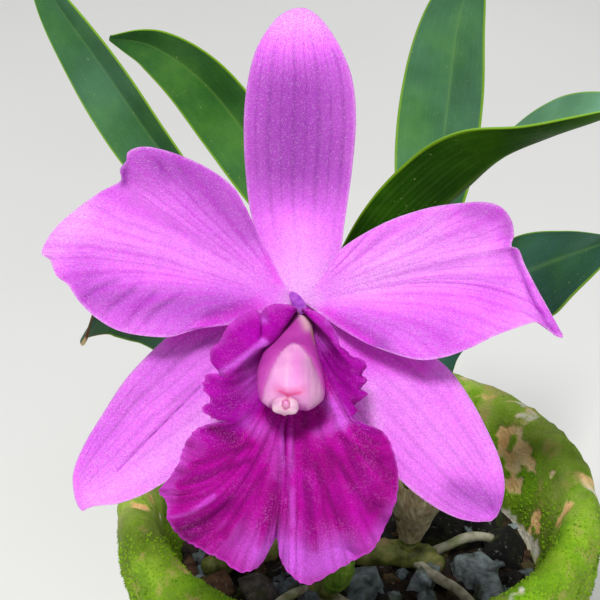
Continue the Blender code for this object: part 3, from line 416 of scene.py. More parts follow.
def moss_tree():
    """Tufts of three blades on the faces where the mark says that algae grow."""
    tree, given, ends = new_tree("moss_tufts", "GeometryNodeTree", {
        "Geometry": "Geometry", "Spacing": "Float", "Height": "Float", "Seed": "Int", "Finish": "Material",
    }, {"Geometry": "Geometry"})
    thick = node("GeometryNodeInputNamedAttribute", {"Name": "tufts"}, tree, data_type="FLOAT").outputs[0]
    spots = node("GeometryNodeDistributePointsOnFaces", {
        "Mesh": given["Geometry"], "Distance Min": given["Spacing"], "Density Max": 9.0e5,
        "Density Factor": node("ShaderNodeMapRange", {0: thick, 1: 0.7, 2: 1.0}).outputs[0],
        "Seed": given["Seed"]}, distribute_method="POISSON").outputs
    sizes = {"Vertices": 3, "Radius Bottom": 0.32, "Depth": 1.0}
    blade = node("GeometryNodeMeshCone", sizes, tree).outputs[0]
    tuft = node("GeometryNodeJoinGeometry", tree=tree)
    for lean in range(3):
        turned = node("GeometryNodeTransform", {
            "Geometry": blade, "Rotation": (0.5, 0.2 * lean, math.tau * lean / 3),
            "Translation": (0.2 * math.cos(2.1 * lean), 0.2 * math.sin(2.1 * lean), -0.2)})
        tree.links.new(turned.outputs[0], tuft.inputs[0])
    spin = drawn(given["Seed"], (0.0, 0.0, 0.0), (0.5, 0.5, math.tau))
    tufts = node("GeometryNodeInstanceOnPoints", {
        "Points": spots["Points"], "Instance": tuft.outputs[0],
        "Rotation": node("FunctionNodeRotateRotation", {0: spots["Rotation"], 1: spin},
                         rotation_space="LOCAL").outputs[0],
        "Scale": number("MULTIPLY", drawn(given["Seed"], 0.5, 1.25), given["Height"])})
    real = node("GeometryNodeRealizeInstances", {0: tufts.outputs[0]})
    finished = node("GeometryNodeSetMaterial", {0: real.outputs[0], 2: given["Finish"]})
    tree.links.new(finished.outputs[0], ends[0])
    return tree


def moss_green():
    material, where = finish("moss_green", Specular_IOR_Level=0.2, Roughness=0.9)
    colour = graded(cloud(where, 200.0, 4.0), (0.32, 100, 144, 14), (0.5, 140, 188, 26), (0.68, 174, 214, 50))
    return fed(material, Base_Color=colour)


moss_colour = moss_green()
moss = grown("pot_moss", pot, moss_tree(), moss_colour,
             Spacing=MOSS_SPACING * MM, Height=MOSS_HEIGHT * MM, Seed=MOSS_SEED)
dress(moss, moss_colour, "clay")


# The potting mix
# Coarse bark, charcoal and broken bluish stone, packed to below the rim round the orchid's roots.
# The biggest chips lie as the solid has them, and smaller ones fill the gaps between.
GAP = 0.3
MIX_LEVEL = 69.0
CHIP_COUNT = 30
CHIP_SEED = 11
CHIP_CUTS = 7
BLOCK_CORNERS = ((0, 0, 0), (1, 0, 0), (1, 1, 0), (0, 1, 0), (0, 0, 1), (1, 0, 1), (1, 1, 1), (0, 1, 1))
CHIP_SPACING = 3.4
CHIP_SIZE = 2.9
SMALL_CHIP_SEED = 9
MIX_SIDES = 96
MIX_CIRCLES = 26


def mix_height(x, y):
    """The uneven top of the potting mix, a little higher in the middle."""
    mound = 6.0 * max(0.0, 1.0 - (x * x + y * y) / 2600.0)
    return MIX_LEVEL + mound + 1.4 * noise.noise(Vector((x, y, 3.0)) / 11.0)


def make_mix_bed():
    """The dark bed under the chips, which fills the pot."""
    edge = inner_radius(MIX_LEVEL) - GAP - 0.4
    foot = WALL + GAP + 0.4
    turns = full_turn(MIX_SIDES)
    radii = [0.4, FOOT_RADIUS - WALL - 4.0, inner_radius(foot + 3.0) - GAP - 0.6]
    heights = [foot, foot, foot + 3.0]
    shares = np.linspace(1.0, 0.01, MIX_CIRCLES)
    rings = [np.stack([radius * np.cos(turns), radius * np.sin(turns), np.full(MIX_SIDES, height)], -1)
             for radius, height in zip(radii, heights)]
    for share in shares:
        x = edge * share * np.cos(turns)
        y = edge * share * np.sin(turns)
        level = np.array([mix_height(a, b) for a, b in zip(x, y)]) - 1.6
        ring = np.stack([x, y, level], -1)
        ring[:, 2] += 1.3 * rough(ring, 4.0, 3)
        rings.append(ring)
    return lofted("mix_bed", np.array(rings))


def chip_corners(spot, size, draw):
    """The eight corners of one chip, drawn in the same order as those of its solid."""
    turn = draw.uniform(0, math.tau)
    tip = draw.uniform(-0.6, 0.6)
    spin = np.array([[math.cos(turn), -math.sin(turn), 0], [math.sin(turn), math.cos(turn), 0], [0, 0, 1]])
    tilt = np.array([[1, 0, 0], [0, math.cos(tip), -math.sin(tip)], [0, math.sin(tip), math.cos(tip)]])
    half = np.array([size, size * draw.uniform(0.55, 0.9), size * draw.uniform(0.45, 0.7)])
    corners = []
    for picks in BLOCK_CORNERS:
        inset = 0.7 if picks[2] else 1.0
        corner = (np.array(picks) * 2 - 1) * half * (inset, inset, 1.0) * draw.uniform(0.8, 1.1)
        corners.append(spot + spin @ tilt @ corner)
    return np.array(corners)


def worn_block(corners, which):
    """Points and faces of a block with those corners, cut fine, rounded off and pitted."""
    steps = np.linspace(-1, 1, CHIP_CUTS)
    a, b = np.meshgrid(steps, steps, indexing="ij")
    one = np.ones_like(a)
    sides = [(-one, b, a), (one, a, b), (a, -one, b), (b, one, a), (b, a, -one), (a, b, one)]
    cube = np.concatenate([np.stack(side, -1).reshape(-1, 3) for side in sides])
    ball = cube / np.linalg.norm(cube, axis=1, keepdims=True)
    worn = cube * 0.78 + ball * 0.34
    low = (1 - worn) / 2
    high = (1 + worn) / 2
    points = np.zeros_like(worn)
    for corner, picks in zip(corners, BLOCK_CORNERS):
        share = np.ones(len(worn))
        for axis, pick in enumerate(picks):
            share = share * (high[:, axis] if pick else low[:, axis])
        points += share[:, None] * corner
    middle = corners.mean(0)
    outwards = (points - middle) / np.linalg.norm(points - middle, axis=1, keepdims=True)
    points += outwards * (0.5 * rough(points + which * 40.0, 3.4, 3))[:, None]
    grid = np.arange(CHIP_CUTS * CHIP_CUTS).reshape(CHIP_CUTS, CHIP_CUTS)
    quads = np.stack([grid[:-1, :-1], grid[1:, :-1], grid[1:, 1:], grid[:-1, 1:]], -1).reshape(-1, 4)
    faces = np.concatenate([quads + k * CHIP_CUTS**2 for k in range(6)])
    return points, faces


def make_big_chips():
    draw = random.Random(CHIP_SEED)
    edge = inner_radius(MIX_LEVEL) - GAP - 0.2
    golden = math.pi * (3.0 - math.sqrt(5.0))
    points = []
    faces = []
    tints = []
    for k in range(CHIP_COUNT):
        size = draw.uniform(4.0, 6.6)
        radius = min((edge - 1.0) * math.sqrt((k + 0.6) / CHIP_COUNT), edge - size * 1.5)
        x = radius * math.cos(golden * k)
        y = radius * math.sin(golden * k)
        spot = np.array([x, y, mix_height(x, y) + draw.uniform(-0.6, 1.2)])
        some, sides = worn_block(chip_corners(spot, size, draw), k)
        faces.append(sides + sum(len(p) for p in points))
        points.append(some)
        tints.append(np.full(len(some), (k * 0.381) % 1.0))
    chips = body("big_chips", np.concatenate(points), np.concatenate(faces).tolist(),
                 marks={"tint": np.concatenate(tints)}, crease=75.0)
    work = bmesh.new()
    work.from_mesh(chips.data)
    bmesh.ops.remove_doubles(work, verts=work.verts, dist=0.02 * MM)
    bmesh.ops.recalc_face_normals(work, faces=work.faces)
    work.to_mesh(chips.data)
    work.free()
    return chips


def height_of(place):
    return node("ShaderNodeSeparateXYZ", {0: place}).outputs[2]


def chip_tree():
    """Stones, bark and charcoal strewn on the bed's top, each turned, sized and pitted its own way."""
    tree, given, ends = new_tree("small_chips", "GeometryNodeTree", {
        "Geometry": "Geometry", "Spacing": "Float", "Size": "Float", "Seed": "Int", "Finish": "Material",
    }, {"Geometry": "Geometry"})
    upright = height_of(node("GeometryNodeInputNormal", tree=tree).outputs[0])
    level = height_of(node("GeometryNodeInputPosition", tree=tree).outputs[0])
    spots = node("GeometryNodeDistributePointsOnFaces", {
        "Mesh": given["Geometry"], "Distance Min": given["Spacing"], "Density Max": 1.2e5,
        "Density Factor": number("MULTIPLY", number("GREATER_THAN", upright, 0.3),
                                 number("GREATER_THAN", level, 0.06)),
        "Seed": given["Seed"]}, distribute_method="POISSON").outputs
    stone = node("GeometryNodeMeshIcoSphere", {"Radius": 1.0, "Subdivisions": 3}, tree).outputs[0]
    kinds = node("GeometryNodeJoinGeometry", tree=tree)
    for stretch in ((1.0, 0.8, 0.66), (1.25, 0.72, 0.42), (0.9, 0.85, 0.55)):
        shaped = node("GeometryNodeTransform", {"Geometry": stone, "Scale": stretch}).outputs[0]
        tree.links.new(node("GeometryNodeGeometryToInstance", {0: shaped}).outputs[0], kinds.inputs[0])
    chips = node("GeometryNodeInstanceOnPoints", {
        "Points": spots["Points"], "Instance": kinds.outputs[0], "Pick Instance": True,
        "Rotation": drawn(given["Seed"], (-0.5, -0.5, 0.0), (0.5, 0.5, math.tau)),
        "Scale": number("MULTIPLY", drawn(given["Seed"], 0.55, 1.3), given["Size"])})
    tint = node("FunctionNodeRandomValue", {"Seed": 3}, tree, data_type="FLOAT").outputs[1]
    marked = node("GeometryNodeStoreNamedAttribute", {
        "Geometry": chips.outputs[0], "Name": "tint", "Value": tint}, data_type="FLOAT", domain="INSTANCE")
    real = node("GeometryNodeRealizeInstances", {0: marked.outputs[0]})
    pits = node("ShaderNodeTexNoise", {"Scale": 330.0, "Detail": 2.0}, tree).outputs[1]
    centred = node("ShaderNodeVectorMath", {0: pits, 1: (0.5, 0.5, 0.5)}, operation="SUBTRACT").outputs[0]
    shift = node("ShaderNodeVectorMath", {
        0: centred, "Scale": number("MULTIPLY", given["Size"], 1.5)}, operation="SCALE").outputs[0]
    broken = node("GeometryNodeSetPosition", {"Geometry": real.outputs[0], "Offset": shift})
    finished = node("GeometryNodeSetMaterial", {0: broken.outputs[0], 2: given["Finish"]})
    tree.links.new(finished.outputs[0], ends[0])
    return tree


def chip_colours():
    """Charcoal, bark and stone by each chip's tint, all dusted with algae and lime."""
    material, where = finish("mix_chips", Specular_IOR_Level=0.35)
    tint = mark(where, "tint")
    kind = graded(tint, (0.0, 30, 29, 28), (0.28, 58, 50, 44), (0.34, 84, 56, 38), (0.55, 112, 82, 58),
                  (0.6, 112, 128, 132), (1.0, 164, 178, 180))
    shade = graded(cloud(where, 420.0, 6.0), (0.3, 110, 110, 110), (0.7, 255, 255, 255))
    colour = layered(
        mixed(1.0, kind, shade, "MULTIPLY"),
        (in_patches(where, 120.0, 4.0, 0.52, 0.66, 0.65), 72, 84, 34),
        (in_patches(where, 700.0, 5.0, 0.6, 0.74, 0.6), 176, 178, 168))
    return fed(material, Base_Color=colour, Roughness=between(tint, 0.2, 0.7, 0.95, 0.75),
               Normal=bumped(cloud(where, 1300.0, 6.0), 0.0006, 0.8))


def bed_colours():
    material, where = finish("mix_bed", Specular_IOR_Level=0.2, Roughness=0.95)
    colour = graded(cloud(where, 500.0, 6.0), (0.35, 20, 18, 14), (0.7, 64, 52, 38))
    return fed(material, Base_Color=colour, Normal=bumped(cloud(where, 1600.0, 6.0), 0.0008))


bed = make_mix_bed()
chip_finish = chip_colours()
small_chips = grown("small_chips", bed, chip_tree(), chip_finish,
                    Spacing=CHIP_SPACING * MM, Size=CHIP_SIZE * MM, Seed=SMALL_CHIP_SEED)
dress(bed, bed_colours(), "mix", "potting_mix")
dress(small_chips, chip_finish, "mix")
dress(make_big_chips(), chip_finish, "mix")


# The creeping stem
# A woody green rhizome as thick as a pencil, which runs over the mix and carries every
# pseudobulb on a short neck. Rings on it mark where its scale leaves sat.
RHIZOME_RADIUS = 3.8
NECK_RADIUS = 3.0
STEM_SIDES = 20
# Each pseudobulb's foot and head, its radius at the widest and at the head
BULBS = {
    1: ((-10.0, -13.0, 82.0), (-8.0, -27.0, 150.0), 7.6, 5.4),
    2: ((13.0, -3.0, 81.0), (18.0, -12.0, 138.0), 7.2, 3.9),
    3: ((-32.0, -3.0, 80.5), (-38.0, -13.0, 135.0), 7.0, 3.9),
    4: ((-15.0, 12.0, 81.0), (-24.0, 15.0, 137.0), 7.4, 3.9),
    5: ((12.0, 20.0, 80.5), (17.5, 26.0, 130.0), 6.8, 3.9),
    6: ((-5.0, 37.0, 80.6), (-11.0, 45.0, 119.0), 6.4, 3.7),
}
SHOOT = ((-7.0, -21.5, 80.6), (-2.5, -26.5, 96.0), 2.4)
# The creeping stem and its branches, as places they run through
RUNS = (
    ((-5, 46, 74.5), (-4, 37, 75.5), (2, 26, 76), (-8, 16, 76.5), (-14, 6, 76.5), (-10, -13, 76.5),
     (-9, -21, 75.5)),
    ((-13, 5, 76.3), (-22, 0, 76), (-32, -3, 75.5), (-38, -6, 74.5)),
    ((-11, -2, 76.3), (0, -3, 76.5), (13, -3, 76), (20, -6, 75)),
    ((1, 25, 75.8), (7, 22, 75.6), (12, 20, 75.4), (18, 18, 74.5)),
)


def unit(vector):
    vector = np.asarray(vector, float)
    return vector / (np.linalg.norm(vector, axis=-1, keepdims=True) + 1e-12)


def spokes_round(path, turns):
    """Directions square to a path at each of its points, carried along without twist."""
    ahead = unit(np.gradient(path, axis=0))
    side = unit(np.array(Vector(ahead[0]).orthogonal()))
    sides = []
    for direction in ahead:
        side = unit(side - direction * side.dot(direction))
        sides.append(side)
    sides = np.array(sides)
    turns = turns[None, :, None]
    return sides[:, None] * np.cos(turns) + np.cross(ahead, sides)[:, None] * np.sin(turns)


def tube_rings(path, radii, sides):
    """Rings of points round a path, with one radius for each of its points."""
    radii = np.asarray(radii, float).reshape(len(path), -1, 1)
    return path[:, None] + spokes_round(path, full_turn(sides)) * radii


def swollen(rings, path, by):
    """Rings drawn out from their path by a share of their own for each point."""
    return path[:, None] + (rings - path[:, None]) * by[..., None]


def domed(path, radii):
    """A tube's path and radii with its two ends rounded off."""
    caps = np.array((0.3, 0.62, 0.87))
    reach = 0.9 * np.sqrt(1 - caps**2)[:, None]
    start = path[0] - unit(path[1] - path[0]) * radii[0] * reach
    end = path[-1] + unit(path[-1] - path[-2]) * radii[-1] * reach[::-1]
    radii = np.concatenate([caps * radii[0], radii, caps[::-1] * radii[-1]])
    return np.concatenate([start, path, end]), radii


def joined(name, *things):
    """Several pieces of one finish made into one."""
    for thing in bpy.context.selected_objects:
        thing.select_set(False)
    for thing in things:
        thing.select_set(True)
    bpy.context.view_layer.objects.active = things[0]
    bpy.ops.object.join()
    things[0].name = name
    return things[0]


def make_rhizome():
    stems = []
    for run in RUNS:
        path = even(spline(run, 60), 14 * len(run))
        ringed = np.abs(np.sin(np.arange(len(path)) * 0.36)) ** 8
        radii = (RHIZOME_RADIUS - 0.35) * np.ones(len(path)) + 0.45 * ringed
        radii[:3] -= 0.6
        radii[-3:] -= 0.9
        path, radii = domed(path, radii)
        rings = tube_rings(path, radii, STEM_SIDES)
        stems.append(lofted("stem", swollen(rings, path, 1 + 0.07 * rough(rings, 5.0))))
    necks = [(foot, top, NECK_RADIUS) for foot, top, _, _ in BULBS.values()] + [SHOOT]
    for foot, top, radius in necks:
        axis = unit(np.subtract(top, foot))
        head = np.array(foot) - axis * GAP
        path = np.array([head - axis * k for k in (6.0, 4.5, 3.2, 2.0, 1.0, 0.4, 0.0)])
        radii = np.array([1.25, 1.2, 1.05, 1.0, 0.96, 0.9, 0.8]) * radius
        stems.append(lofted("neck", tube_rings(path, radii, STEM_SIDES)))
    return joined("rhizome", *stems)


def stem_green():
    material, where = finish("stem_green", Specular_IOR_Level=0.4, Roughness=0.6)
    skin = graded(cloud(where, 260.0, 5.0), (0.32, 70, 74, 30), (0.5, 112, 120, 52), (0.66, 150, 146, 84))
    colour = layered(skin, (in_patches(where, 110.0, 4.0, 0.5, 0.6, 0.85), 150, 128, 92))
    return fed(material, Base_Color=colour, Normal=bumped(cloud(where, 1400.0, 5.0), 0.0004, 0.7))


dress(make_rhizome(), stem_green(), "rhizome", "rhizome_and_roots")


# The roots
# Round roots in a spongy grey-white skin, with green growing tips. They leave the creeping stem,
# cross the mix and dive into it or hang over its chips.
ROOT_RADIUS = 1.3
ROOT_RINGS = 56
ROOT_SIDES = 14
ROOTS = (
    ((-9, -17, 75), (-4, -24, 77.5), (2, -30, 76.5), (5, -35, 71), (6, -37, 62)),
    ((-11, -16, 75), (-18, -21, 77), (-23, -26, 75), (-26, -30, 69), (-27, -31, 61)),
    ((14, -4, 75), (20, -14, 77), (26, -19, 76), (31, -22, 70), (32, -23, 61)),
    ((17, -3, 75), (26, 2, 76.5), (34, 6, 74.5), (38, 8, 69), (39, 9, 61)),
    ((-33, -4, 75), (-37, 3, 76), (-38, 9, 74), (-37, 14, 69), (-36, 17, 61)),
    ((-14, 11, 75), (-22, 16, 77), (-27, 22, 75), (-30, 26, 69), (-30, 28, 61)),
    ((4, 24, 75), (12, 31, 77), (17, 35, 74), (20, 37, 69), (20, 38, 61)),
)


def make_roots():
    roots = []
    for which, root in enumerate(ROOTS):
        path = even(spline(root, 60), ROOT_RINGS)
        path += 0.35 * np.stack([rough(path + 30.0 * (k + which), 9.0, 2) for k in range(3)], -1)
        radii = ROOT_RADIUS * (1.0 + 0.1 * rough(path, 4.0, 2))
        path, radii = domed(path, radii)
        roots.append(lofted("root", tube_rings(path, radii, ROOT_SIDES)))
    return joined("roots", *roots)


def root_skin():
    material, where = finish("root_skin", Specular_IOR_Level=0.3, Roughness=0.8)
    skin = graded(cloud(where, 330.0, 5.0), (0.3, 128, 122, 98), (0.55, 188, 184, 160), (0.75, 214, 212, 196))
    colour = layered(skin, (in_patches(where, 90.0, 4.0, 0.5, 0.68, 0.7), 124, 140, 66))
    return fed(material, Base_Color=colour, Normal=bumped(cloud(where, 2200.0, 4.0), 0.0003, 0.8))


dress(make_roots(), root_skin(), "rhizome")


# The pseudobulbs
# Swollen green stems that store water, each furrowed from foot to head as it ages, with one
# faint ring at mid height. They stand on the creeping stem's necks.
BULB_SIDES = 72
BULB_RINGS = 60
BULB_FURROWS = 11
# Up a pseudobulb: how far, and its share of the full girth
BULB_PROFILE = ((0, 0.36), (0.06, 0.42), (0.18, 0.62), (0.34, 0.88), (0.5, 1), (0.66, 0.98), (0.8, 0.84),
                (0.91, 0.66))


def bulb_shape(which):
    """The path up a pseudobulb and its radius at each point of it."""
    foot, top, widest, head = BULBS[which]
    foot = np.array(foot)
    axis = np.array(top) - foot
    bow = np.array((0.0, -1.0, 0.15)) * 2.2
    rows = []
    for up, share in BULB_PROFILE:
        point = foot + axis * up + bow * math.sin(math.pi * up) ** 2
        rows.append((*point, max(widest * share, head if up > 0.85 else 0.0)))
    rows.append((*top, head))
    fine = even(spline(rows, 90), BULB_RINGS)
    return fine[:, :3], fine[:, 3]


def make_bulb(which):
    path, radii = bulb_shape(which)
    up = np.linspace(0, 1, BULB_RINGS)[:, None]
    turns = full_turn(BULB_SIDES)[None]
    rings = tube_rings(path, radii, BULB_SIDES)
    wander = 0.9 * rough(rings * (1, 1, 0.35), 14.0, 2) + which * 1.7
    furrow = -np.abs(np.cos((turns + wander * 0.35) * BULB_FURROWS / 2)) ** 5
    strength = smooth(up, 0.02, 0.25) * (1 - smooth(up, 0.8, 0.97))
    age = 0.30 if which == 1 else 0.75
    swell = 1.0 + furrow * strength * 0.075 * age + 0.02 * rough(rings, 7.0, 2)
    node_ring = 0.02 * bell(up - 0.52, 0.012)
    rings = swollen(rings, path, swell + node_ring)
    return lofted(f"bulb_{which}", rings, {"furrow": -furrow * strength})


def bulb_skin():
    material, where = finish("bulb_skin", Specular_IOR_Level=0.45, Coat_Weight=0.12, Coat_Roughness=0.3)
    streak = cloud(where, 300.0, 4.0, stretch=(1.0, 1.0, 0.14))
    colour = layered(
        graded(streak, (0.3, 66, 84, 26), (0.5, 106, 130, 46), (0.7, 150, 164, 74)),
        # painted shade: the furrows are darkened
        (mark(where, "furrow", 0.75), 52, 60, 22),
        (in_patches(where, 60.0, 3.0, 0.5, 0.7, 0.4), 112, 66, 58),
        (in_patches(where, 900.0, 3.0, 0.66, 0.72, 0.7), 70, 58, 36))
    return fed(material, Base_Color=colour, Roughness=between(cloud(where, 200.0), 0.3, 0.7, 0.38, 0.6),
               Normal=bumped(streak, 0.0005, 0.5))


bulb_finish = bulb_skin()
for bulb_number in BULBS:
    dress(make_bulb(bulb_number), bulb_finish, "pseudobulb", f"pseudobulb_{bulb_number}")


# The dry sheaths
# Thin straw-coloured scale leaves that once wrapped the young growths. They cling to the lower
# part of each pseudobulb, split down one side and torn at the top.
SHEATH_HALF = 0.12
SHEATH_ROWS = 26
SHEATH_COLUMNS = 60
# Each layer's foot and top up its pseudobulb, how far it stands off, and its turn
SHEATHS = ((0.03, 0.34, 0.5, 0.0), (0.22, 0.62, 0.9, 2.4))


def face_normals(grid):
    return unit(np.cross(np.gradient(grid, axis=0), np.gradient(grid, axis=1)))


def two_faced(name, grid, half, marks=None, crease=60.0):
    """A thin closed blade on both sides of a grid of points. Its places run across, then along."""
    rows, cols = grid.shape[:2]
    lift = face_normals(grid) * np.broadcast_to(half, (rows, cols))[..., None]
    points = np.concatenate([(grid + lift).reshape(-1, 3), (grid - lift).reshape(-1, 3)])
    top = np.arange(rows * cols).reshape(rows, cols)
    quads = np.stack([top[:-1, :-1], top[1:, :-1], top[1:, 1:], top[:-1, 1:]], -1).reshape(-1, 4)
    rim = np.concatenate([top[0, :-1], top[:-1, -1], top[-1, :0:-1], top[:0:-1, 0]])
    after = np.roll(rim, -1)
    edge = np.stack([rim, after, after + top.size, rim + top.size], -1)
    faces = quads.tolist() + (quads + top.size)[:, ::-1].tolist() + edge.tolist()
    along, across = np.meshgrid(np.linspace(0, 1, rows), np.linspace(0, 1, cols), indexing="ij")
    places = np.tile(np.stack([across * 0.5, along], -1).reshape(-1, 2), (2, 1))
    both = {key: np.tile(np.asarray(values).ravel(), 2) for key, values in (marks or {}).items()}
    both["upper"] = np.repeat((1.0, 0.0), top.size)
    return body(name, points, faces, places, both, crease)


def make_sheath(which, layer):
    foot, top, away, shift = SHEATHS[layer]
    path, radii = bulb_shape(which)
    up = np.linspace(foot, top, SHEATH_ROWS)
    centre = np.stack([np.interp(up, np.linspace(0, 1, BULB_RINGS), path[:, k]) for k in range(3)], -1)
    turns = np.linspace(0.25, math.tau - 0.25, SHEATH_COLUMNS) + shift + which * 1.3
    share = np.linspace(0, 1, SHEATH_ROWS)[:, None]
    torn = 0.72 + 0.28 * np.sin(turns * 2.0 + which) * np.cos(turns * 5.3 + layer * 2.0)
    spokes = spokes_round(centre, turns)
    level = share * torn[None]
    axis = centre[-1] - centre[0]
    drop = (level - share)[..., None] * axis
    radius = np.interp(foot + (top - foot) * level, np.linspace(0, 1, BULB_RINGS), radii)
    radius = radius + away + 0.9 * level**3 * (0.5 + 0.5 * np.sin(turns * 3.1 + layer))
    grid = centre[:, None] + drop + spokes * radius[..., None]
    grid = grid + spokes * (0.35 * rough(grid, 5.0, 2))[..., None]
    return two_faced(f"sheath_{which}_{layer}", grid, SHEATH_HALF)


def dry_sheath():
    material, where = finish("dry_sheath", Specular_IOR_Level=0.35, Roughness=0.65, Sheen_Weight=0.15)
    fibre = cloud(where, 900.0, 4.0, stretch=(1.0, 1.0, 0.08))
    straw = graded(fibre, (0.3, 128, 104, 72), (0.5, 178, 158, 118), (0.72, 214, 202, 172))
    colour = layered(straw, (in_patches(where, 140.0, 4.0, 0.52, 0.7, 0.6), 96, 74, 48))
    return fed(material, Base_Color=colour, Normal=bumped(fibre, 0.0004, 0.8))


sheath_finish = dry_sheath()
for bulb_number in BULBS:
    layers = [make_sheath(bulb_number, layer) for layer in range(1 if bulb_number in (1, 5) else 2)]
    dress(joined(f"bulb_sheath_{bulb_number}", *layers), sheath_finish, "sheath")


# The young shoot
# The season's new growth at the front of the creeping stem: a fat green point, wrapped in
# overlapping scale leaves that will dry into sheaths.
SHOOT_PROFILE = ((0.0, 0.85), (0.2, 1.15), (0.45, 1.3), (0.7, 1.05), (0.9, 0.6), (1.0, 0.25))
SCALE_EDGES = (0.3, 0.58, 0.84)
SHOOT_RINGS = 48
SHOOT_SIDES = 32


def make_shoot():
    foot, top, radius = SHOOT
    spine = []
    for up, share in SHOOT_PROFILE:
        point = np.array(foot) * (1 - up) + np.array(top) * up
        point[1] -= 0.8 * math.sin(math.pi * up)
        spine.append((*point, radius * share))
    fine = even(spline(spine, 60), SHOOT_RINGS)
    rings = tube_rings(fine[:, :3], fine[:, 3], SHOOT_SIDES)
    up = np.linspace(0, 1, SHOOT_RINGS)[:, None]
    turns = full_turn(SHOOT_SIDES)[None]
    girth = np.full((SHOOT_RINGS, SHOOT_SIDES), 0.84)
    for k, edge in enumerate(SCALE_EDGES):
        lip = edge + 0.07 * np.cos(turns + 2.1 * k)
        girth += 0.1 * (1 - smooth(up, lip - 0.012, lip + 0.012))
    return lofted("shoot", swollen(rings, fine[:, :3], girth))


def shoot_green():
    material, where = finish("shoot_green", Specular_IOR_Level=0.45, Roughness=0.45)
    streak = cloud(where, 700.0, 4.0, stretch=(1.0, 1.0, 0.12))
    colour = graded(streak, (0.3, 86, 124, 34), (0.55, 132, 168, 58), (0.75, 176, 198, 96))
    return fed(material, Base_Color=colour, Normal=bumped(streak, 0.0002, 0.6))


dress(make_shoot(), shoot_green(), "shoot", "young_shoot")


# The leaves
# One stiff leaf on each pseudobulb: leathery, folded to a keel at its foot and flatter to its
# tip, dark green under a bluish haze that is part waxy bloom and part painted sheen. Each spine
# is placed as seen past the bloom.
SIGHT_DISTANCE = 450.0
BLOOM_TILT = math.radians(32.0)
HUB = np.array((-15.0, -78.0, 200.0))
ACROSS = np.array((1.0, 0.0, 0.0))
UPWARD = np.array((0.0, math.sin(BLOOM_TILT), math.cos(BLOOM_TILT)))
FACING = np.array((0.0, -math.cos(BLOOM_TILT), math.sin(BLOOM_TILT)))
LEAF_HALF = 0.8
LEAF_ROWS = 110
LEAF_COLUMNS = 33
FOOT_FOLD = 26.0
# Along a leaf: how far, and its share of the full width
LEAF_WIDTH = ((0, 0.33), (0.07, 0.36), (0.2, 0.62), (0.33, 0.88), (0.48, 1), (0.66, 0.95), (0.82, 0.72),
              (0.93, 0.42), (1, 0.08))
# Each leaf's bulb and shift, the places it runs through as seen, and its width. Then the way its
# side points at the foot and at the tip, the fold along its keel at both, and its twist.
LEAVES = (
    (1, (0, 2.4, 0.4), ((9, -1, -69), (19, 10.2, -66), (29.6, 20.4, -59), (39.6, 28.6, -50),
     (50, 33.2, -40), (60, 36.6, -31), (68, 39, -25)), 27,
     (-0.9, 0.2, 0.4), (-0.3, 0, 0.95), 35, 28, 26),
    (2, (0, 0, 0), ((38, 2.5, -65), (48.5, 6.6, -50), (57, 9.5, -38), (65, 12.4, -30)), 23,
     (-0.3, 0.9, 0.2), (-0.1, 0.7, -0.7), 40, 18, -20),
    (3, (0, 0, 0), ((-26.6, -0.8, -68), (-32.1, 1, -47.7), (-39.9, -3, -34.7), (-43.3, -8.6, -27)), 24,
     (0, -0.95, 0.24), (-0.3, -0.52, -0.3), 40, 8, 0),
    (4, (0, 0, 0), ((-20, 20.5, -107), (-30.6, 34.5, -102), (-40, 48, -95), (-49, 60.5, -88),
     (-53.5, 68, -84)), 21, (0.7, 0.3, 0.6), (0.6, 0.4, 0.7), 38, 22, 0),
    (5, (0, 0, 0), ((25.6, 9, -119), (28, 24, -117), (30, 41, -113), (32, 56, -106),
     (36, 69, -97)), 25, (0.9, -0.1, 0.3), (0.8, -0.3, 0.4), 38, 20, 0),
    (6, (0, 0, 0), ((4, 8, -144), (-3, 22, -144), (-11, 34, -142), (-20, 44.5, -138),
     (-29.5, 51, -132), (-38, 52.5, -126)), 22, (0.8, 0.3, 0.3), (0.3, 0.8, 0.5), 38, 22, 0),
)


def along_bloom(directions):
    """Directions given across, up and out of the bloom, in the plant's own axes."""
    directions = np.asarray(directions, float)
    return directions[..., :1] * ACROSS + directions[..., 1:2] * UPWARD + directions[..., 2:] * FACING


def place(points):
    return HUB + along_bloom(points)


def seen(points):
    """Places of points that the eye sees at (across, up) over the bloom's plane, and out of it."""
    points = np.asarray(points, float)
    nearer = 1 - points[..., 2:] / SIGHT_DISTANCE
    return place(np.concatenate([points[..., :2] * nearer, points[..., 2:]], -1))


def leaf_share(at):
    """The share of a leaf's full width at places along it."""
    fine = spline(LEAF_WIDTH, 200)
    return np.interp(at, fine[:, 0], fine[:, 1])


def bulb_head(which):
    """The head of a pseudobulb and the way it points."""
    foot, top, _, _ = (np.array(value) for value in BULBS[which])
    return top, unit(top - foot)


